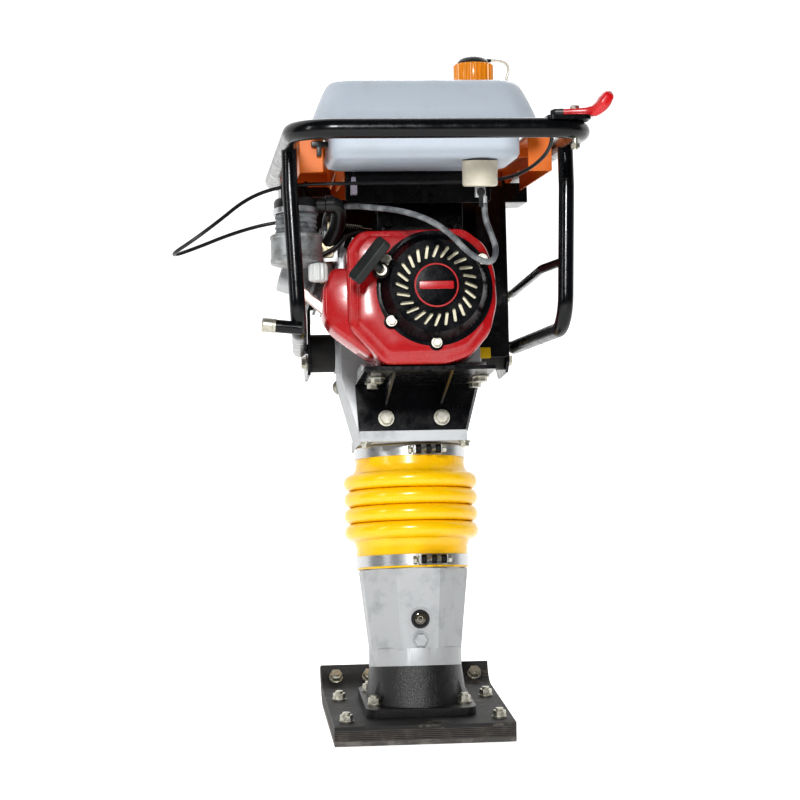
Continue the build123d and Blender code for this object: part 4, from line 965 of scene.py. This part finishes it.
red_nylon = moulded_plastic("moulded_red_nylon", "#c2161d", "#9a4a46", 0.3, 900.0, 0.2)
stations = np.linspace(0, 1, 26)
route = np.array([(-34, 1, 6), (-20, 1, 6), (0, 0, 6.4), (16, -3, 6), (28, -7, 8), (37, -10, 15),
                  (44, -12, 25),
                  (49, -13, 34)], float)
knots = np.linspace(0, 1, len(route))
way = np.stack([np.interp(stations, knots, route[:, k]) for k in range(3)], -1)
wide = np.interp(stations, [0, 0.03, 0.3, 0.5, 0.75, 0.93, 1], [9, 15, 22, 22, 30, 24, 8])
thick = np.interp(stations, [0, 0.03, 0.3, 0.6, 0.8, 0.95, 1], [6, 10, 12, 17, 19, 15, 6])
blade = swept(way, (0, 1, 0.1), wide, thick)
pivot = np.array([193.0, 18.0, 17.2])
blade_piece = piece("lever_blade", [railed(blade + pivot)], red_nylon, "throttle", sharp=60.0)
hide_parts("throttle_lever")
tip = swept(way[:5], (0, 1, 0.1), wide[:5] + 1.2, thick[:5] + 1.2)
piece("lever_tip", [railed(tip + pivot)], moulded_black, "throttle")
lever_bolt = [lathe([(8.5, 9.6), (8.5, 11)], pivot, (0, 0, 1), 32),
              lathe([(6.8, 11), (6.8, 15), (5.8, 16)], pivot, (0, 0, 1), 6),
              lathe([(3.9, -46), (3.9, 9)], pivot, (0, 0, 1), 20),
              lathe([(6.8, -44), (6.8, -38)], pivot, (0, 0, 1), 6)]
piece("lever_bolt", [railed(grid) for grid in lever_bolt], bolt_zinc, "throttle")


# ------------------------------------------------------------------ engine block and cylinder
# Die-cast aluminium block under the red fan housing. The finned barrel and its rocker cover reach
# out to the left.
def die_cast():
    """Pressure die-cast aluminium: pale grey, satin, with fuel and dust stains."""
    material, tree, place = begin("die_cast_aluminium")
    blotch_noise = noise(tree, place, 45.0, 7.0, 0.6)
    share = ramp(tree, blotch_noise.outputs["Fac"], 0.45, 0.75)
    colour = mixed(tree, share.outputs[0], linear("#a8abad"), linear("#6a655e"))
    grain = noise(tree, place, 800.0, 2.0)
    rough = ramp(tree, blotch_noise.outputs["Fac"], start=0.34, end=0.6)
    bump = bumped(tree, grain.outputs["Fac"], 0.2, 0.0003)
    return surfaced(material, {
        "Base Color": colour.outputs[2], "Metallic": 0.8, "Roughness": rough.outputs[0],
        "Normal": bump.outputs[0]})


aluminium = die_cast()
softened("engine_block", 0.0020, aluminium, "upper", segments=2)
dressed("cylinder_head", aluminium)
softened("rocker_cover", 0.0040, silver, "upper", segments=3)


# ------------------------------------------------------------------ red fan housing
# Pressed steel in red enamel over the flywheel: a deep rounded box with a raised face round the starter,
# and a set-back part behind it on the left.
def red_enamel():
    """Baked red enamel: glossy, faint orange peel, dust and small chips."""
    material, tree, place = begin("baked_red_enamel")
    peel = noise(tree, place, 260.0, 1.0)
    dust = noise(tree, place, 32.0, 8.0, 0.65)
    share = ramp(tree, dust.outputs["Fac"], 0.52, 0.85, end=0.4)
    colour = mixed(tree, share.outputs[0], linear("#a8141a"), linear("#8a5b52"))
    rough = ramp(tree, dust.outputs["Fac"], start=0.14, end=0.4)
    bump = bumped(tree, peel.outputs["Fac"], 0.1, 0.0005)
    return surfaced(material, {
        "Base Color": colour.outputs[2], "Roughness": rough.outputs[0], "IOR": 1.5, "Coat Weight": 0.5,
        "Coat Roughness": 0.1, "Normal": bump.outputs[0]})


def rounded_reach(outline, centre, radius, turn):
    """How far a rounded outline lies from the centre at each angle: each corner is cut back by the radius and
    bent through a parabola, and the angle then picks the distance."""
    points = np.array(outline, float)
    before, after = np.roll(points, 1, 0) - points, np.roll(points, -1, 0) - points
    before_cut = radius / np.linalg.norm(before, axis=1, keepdims=True)
    after_cut = radius / np.linalg.norm(after, axis=1, keepdims=True)
    start, end = points + before * before_cut, points + after * after_cut
    t = np.linspace(0, 1, 12)[None, :, None]
    curve = (1 - t) ** 2 * start[:, None] + 2 * t * (1 - t) * points[:, None] + t ** 2 * end[:, None]
    dense = curve.reshape(-1, 2)
    share = np.linspace(0, 1, 20, endpoint=False)[None, :, None]
    dense = (dense[:, None] * (1 - share) + np.roll(dense, -1, 0)[:, None] * share).reshape(-1, 2) - centre
    angle = np.arctan2(dense[:, 1], dense[:, 0])
    order = np.argsort(angle)
    return np.interp(turn, angle[order], np.hypot(dense[order, 0], dense[order, 1]), period=2 * np.pi)


def bowl_of(outline, centre, corner, rows, columns=360):
    """A closed skin about the line along y through the centre. Each row is (outline share, inset, fixed
    radius,
    y): radius = share * (reach - inset) + (1 - share) * fixed."""
    turn = np.linspace(-np.pi, np.pi, columns, endpoint=False)
    reach = rounded_reach(outline, centre, corner, turn)
    share, inset, fixed, y = np.array(rows, float).T[:, :, None]
    radius = share * (reach - inset) + (1 - share) * fixed
    return np.stack([centre[0] + radius * np.cos(turn), np.broadcast_to(y, radius.shape),
                     centre[1] + radius * np.sin(turn)], -1)


red_paint = red_enamel()
HOUSING = ((-118, 640), (-118, 730), (-98, 752), (60, 755), (92, 730), (106, 690), (108, 640), (96, 594),
           (66, 560), (30, 549), (-66, 549), (-118, 606))
skin_rows = [(1, 0, 0, -222), (1, 0, 0, -309), (1, 0.7, 0, -313), (1, 2.6, 0, -316.4), (1, 6, 0, -318),
             (1, 12.5, 0, -318.2), (1, 14.2, 0, -319.4), (1, 16.2, 0, -322.4), (1, 18.4, 0, -323.4),
             (0, 0, 84, -323.6), (0, 0, 81, -323), (0, 0, 80.2, -316), (1, 8, 0, -312), (1, 3.5, 0, -305),
             (1, 3.5, 0, -222), (1, 0, 0, -222)]
housing = piece("fan_housing", [leaned(bowl_of(HOUSING, np.array([12.0, 662.0]), 12.0, skin_rows))],
                red_paint,
                "upper", caps=False, sharp=40.0)
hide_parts("fan_shroud")

skirt_rows = [(1, 4, 0, -226), (1, 0, 0, -230), (1, 0, 0, -284), (1, 2, 0, -289), (1, 7, 0, -292)]
SKIRT = ((-154, 626), (-154, 672), (-140, 700), (-70, 700), (-40, 640), (-60, 566), (-84, 562), (-140, 604))
skirt = bowl_of(SKIRT, np.array([-96.0, 635.0]), 9.0, skirt_rows, columns=240)
piece("housing_side", [leaned(skirt)], red_paint, "upper", sharp=40.0)

# ------------------------------------------------------------------ starter cover
# A black pressed cover with a ring of slanted slots, four bolted lugs, and a round badge that bears only
# a plain red band.
starter_black = black_enamel("satin_black_enamel", 0.08, gloss=0.16)
softened("recoil_cover", 0.0007, starter_black, "upper")
lug_bolts = []
for turn in np.radians([150.0, 30.0, 270.0, 217.0]):
    at = (12 + 84 * np.cos(turn), -332, 662 + 84 * np.sin(turn))
    lug_bolts += [lathe([(8.4, 0), (8.4, 1.0), (8.0, 1.4)], at, (0, -1, 0), 28),
                  lathe([(6.3, 1.2), (6.3, 5.4), (5.4, 6.2), (0.01, 6.2)], at, (0, -1, 0), 6)]
piece("starter_bolts", [leaned(grid) for grid in lug_bolts], bolt_zinc, "upper")
MIDDLE = (12, -350, 662)
badge = lathe([(33.5, -1), (33.5, 1.8), (32.9, 2.5), (31.2, 2.5), (30.8, 1.7)], MIDDLE, (0, -1, 0), 72)
piece("badge_ring", [leaned(badge)], red_paint, "upper")
badge_face = lathe([(30.9, 0), (30.8, 1.7), (22, 2.3), (0.01, 2.9)], MIDDLE, (0, -1, 0), 64)
piece("badge_face", [leaned(badge_face)], starter_black, "upper")
band = slab((-14, -353.8, 656), (38, -351.2, 668), 2.5, 0.8, axis=1)
piece("badge_band", [leaned(band)], red_paint, "upper")


# ------------------------------------------------------------------ starter grip and rope
# A hard rubber T grip on a braided nylon rope that runs through an eyelet in the starter cover.
def braided_nylon():
    """Braided nylon rope: off-white, with the strands crossing every 3 mm."""
    material, tree, place = begin("braided_nylon_rope")
    strand = add(tree, "ShaderNodeTexWave", {"Vector": place, "Scale": 160.0, "Distortion": 1.5},
                 bands_direction="DIAGONAL")
    colour = mixed(tree, strand.outputs["Fac"], linear("#8f8b82"), linear("#d7d3c8"))
    bump = bumped(tree, strand.outputs["Fac"], 0.5, 0.0005)
    return surfaced(material, {
        "Base Color": colour.outputs[2], "Roughness": 0.7, "IOR": 1.5, "Normal": bump.outputs[0]})


PULL = np.array([-0.62, -0.70, 0.34]) / np.linalg.norm([-0.62, -0.70, 0.34])
EYE = np.array([-70.0, -350.0, 686.0])
softened("starter_grip", 0.0030, moulded_plastic("moulded_dark_rubber", "#141a18", "#3f4542", 0.42, 700.0),
         "grip",
         segments=4)
level = np.linspace(-8, 7, 16)
rope = lathe(np.stack([np.full(16, 2.1), level], -1), EYE, PULL, 20)
rope_piece = piece("starter_rope", [leaned(rope)], braided_nylon(), None)
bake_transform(rope_piece)
eyelet = lathe([(4.1, -1), (5.2, 1.6), (7.6, 2.0), (8.8, 1.2), (9.0, -1)], EYE, (0, -1, 0), 36)
piece("rope_eyelet", [leaned(eyelet)], bolt_zinc, "upper")

# ------------------------------------------------------------------ flywheel, shaft and rope pulley
# Behind the cover: a cream nylon rope reel, painted lighter against the shade behind the slots, a cast
# flywheel with its blades, and the ground crankshaft.
# The reel's cream is painted lighter than the bowl's: painted light that makes up for the shade behind the
# cover's slots.
dressed("starter_pulley", moulded_plastic("cream_nylon_painted_lighter", "#f4edcf", "#e0d6b2", 0.4, 900.0))
dressed("flywheel", aluminium)
dressed("engine_crankshaft", polished)

# ------------------------------------------------------------------ spark plug and lead
# A plug in the head's outer end, with a black rubber boot. The lead runs from the boot over the
# housing.
ALONG = np.array([-np.cos(np.radians(17.0)), 0.0, np.sin(np.radians(17.0))])
HEAD = np.array([12.0, -172.0, 662.0])
plug_at = HEAD + ALONG * 176 + (0, -42, 0)
plug_grids = [lathe([(5, -6), (9.5, -6), (9.5, 3), (5.4, 4)], plug_at, (-0.2, -0.95, 0.1), 6),
              lathe([(5.2, 3), (4.6, 12), (4.0, 22)], plug_at, (-0.2, -0.95, 0.1), 28)]
piece("spark_plug", [leaned(grid) for grid in plug_grids], cream, "upper")
boot = lathe([(6.4, 10), (7.6, 11), (7.8, 20), (7.0, 28), (4.6, 34), (3.4, 40)], plug_at,
             (-0.2, -0.95, 0.1), 32)
piece("plug_boot", [leaned(boot)], rubber, "upper")
lead_points = leaned([plug_at + np.array([-0.2, -0.95, 0.1]) * 36,
                      plug_at + np.array([-0.2, -0.95, 0.1]) * 52,
                      (-132, -262, 735), (-112, -256, 758), (-84, -244, 764), (-52, -236, 760),
                      (-40, -222, 752)])
lead = cord_line("plug_lead", lead_points, 0.0065, black_sleeve)
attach(lead, "upper")


# ------------------------------------------------------------------ carburettor and its levers
# A die-cast carburettor with a pressed float bowl, on the intake side. Its choke and throttle arms
# turn.
def dull_zinc():
    """Zinc die casting and yellow-passivated steel: straw to grey, mottled."""
    material, tree, place = begin("passivated_zinc")
    patch = noise(tree, place, 70.0, 5.0)
    colour = mixed(tree, patch.outputs["Fac"], linear("#8a7a4d"), linear("#a9a69b"))
    rough = ramp(tree, patch.outputs["Fac"], start=0.28, end=0.5)
    return surfaced(material, {
        "Base Color": colour.outputs[2], "Metallic": 0.9, "Roughness": rough.outputs[0]})


straw = dull_zinc()
softened("carburettor", 0.0018, aluminium, "upper", segments=3)
softened("choke_lever", 0.0005, moulded_black, "choke")
softened("throttle_arm", 0.0005, straw, "governor")
trim = [lathe([(14.6, 0), (15.2, 1.2), (15.2, 2.4), (14.6, 3.4)], (-150, -239, 714), (0, 0, 1), 40),
        lathe([(5.6, 0), (5.6, 5), (4.6, 6), (0.01, 6)], (-150, -239, 684.5), (0, 0, 1), 6),
        slab((-166, -256.4, 722), (-134, -253.6, 746), 4, 1, axis=1)]
piece("carburettor_trim", [leaned(grid) for grid in trim], straw, "upper")

# ------------------------------------------------------------------ air filter
# A spun aluminium can, a ribbed grey rubber boot drawn tight by a bright band, a black nylon top with
# its elbow to the carburettor, and a white drain cup.
CAN = np.array([-193.0, -298.0, 0.0])
can = lathe([(36, 704.2), (39.2, 705.4), (40, 708), (40, 711.5), (38.8, 713), (38.8, 742), (40, 743.4),
             (40, 746),
             (38.6, 748), (31, 748.4)], CAN, (0, 0, 1), 88)
can_piece = piece("filter_can", [leaned(can)], aluminium, "upper")
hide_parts("air_filter")
ribs = np.linspace(748, 780, 49)
boot = lathe(np.stack([29.6 + 2.4 * np.abs(np.sin((ribs - 748) * np.pi / 8)), ribs], -1), CAN, (0, 0, 1), 72)
piece("filter_boot", [leaned(boot)], nitrile_hose(), "upper")
strap = lathe([(33.4, 780), (34.2, 780.6), (34.2, 788.4), (33.4, 789)], CAN, (0, 0, 1), 72)
piece("filter_band", [leaned(strap)], stainless, "upper")
top = [lathe([(33, 788), (33.2, 799), (31, 803), (26, 804), (0.01, 804)], CAN, (0, 0, 1), 64),
       lathe([(12, 0), (12, 44), (14, 45), (14, 58)], (-193, -298, 796), (1, 0, 0), 40)]
piece("filter_top", [leaned(grid) for grid in top], moulded_black, "upper")
cup = lathe([(9, 676), (13, 677), (14, 680), (14, 698), (12.4, 702), (8, 704)], (-162, -310, 0), (0, 0, 1),
            144)
offset = cup - np.array([-162, -310, 0])
swell = 1 + 0.05 * np.cos(12 * np.arctan2(offset[..., 1], offset[..., 0]))
cup[..., :2] = np.array([-162, -310]) + offset[..., :2] * swell[..., None]
milky = moulded_plastic("moulded_milky_nylon", "#c4c6c4", "#9c9d9a", 0.3, 900.0)
piece("filter_drain_cup", [leaned(cup)], milky, "upper")
elbow_points = leaned([(-140, -298, 796), (-132, -298, 796), (-126, -290, 786), (-128, -270, 768),
                       (-136, -256, 752),
                       (-142, -250, 744)])
elbow = cord_line("intake_elbow", elbow_points, 0.024, moulded_black)
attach(elbow, "upper")


# ------------------------------------------------------------------ governor link and stay
# A governor rod with its light spring, and an aluminium stay. The stay runs from the filter down to
# the block.
def brushed_stay():
    """Extruded aluminium bar: pale, with a faint pink tint."""
    material, tree, place = begin("extruded_aluminium_bar")
    drawn = noise(tree, place, 300.0, 2.0)
    rough = ramp(tree, drawn.outputs["Fac"], start=0.25, end=0.45)
    return surfaced(material, {
        "Base Color": linear("#c9b6b1"), "Metallic": 0.9, "Roughness": rough.outputs[0]})


stay = slab((-196, -250, 636), (-108, -242, 650), 4, 1.5, axis=1, turn=42.0)
piece("filter_stay", [leaned(stay)], brushed_stay(), "upper")
wind = np.linspace(0, 1, 500)
centre_line = np.stack([-140 + 66 * wind, np.full(500, -264.0), 772 - 8 * wind], -1)
turn = wind * 2 * np.pi * 22
radius = np.where((wind > 0.3) & (wind < 0.75), 3.4, 0.0)
spring_line = centre_line + np.stack([np.zeros(500), radius * np.cos(turn), radius * np.sin(turn)], -1)
ring_turn = np.linspace(0, 2 * np.pi, 8, endpoint=False)
section = np.stack([np.zeros(8), 0.7 * np.cos(ring_turn), 0.7 * np.sin(ring_turn)], -1)
governor = spring_line[:, None, :] + section[None]
piece("governor_spring", [leaned(governor)], straw, "upper")

# ------------------------------------------------------------------ muffler
# A pressed box in heat-dulled black over the engine block. Its stub pipe leads to the head, and four
# bolts hold it.
softened("muffler", 0.0018, black_enamel("heat_dulled_black", 0.7), "upper")


# Both are in metres and in the shared frame.
low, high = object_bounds()
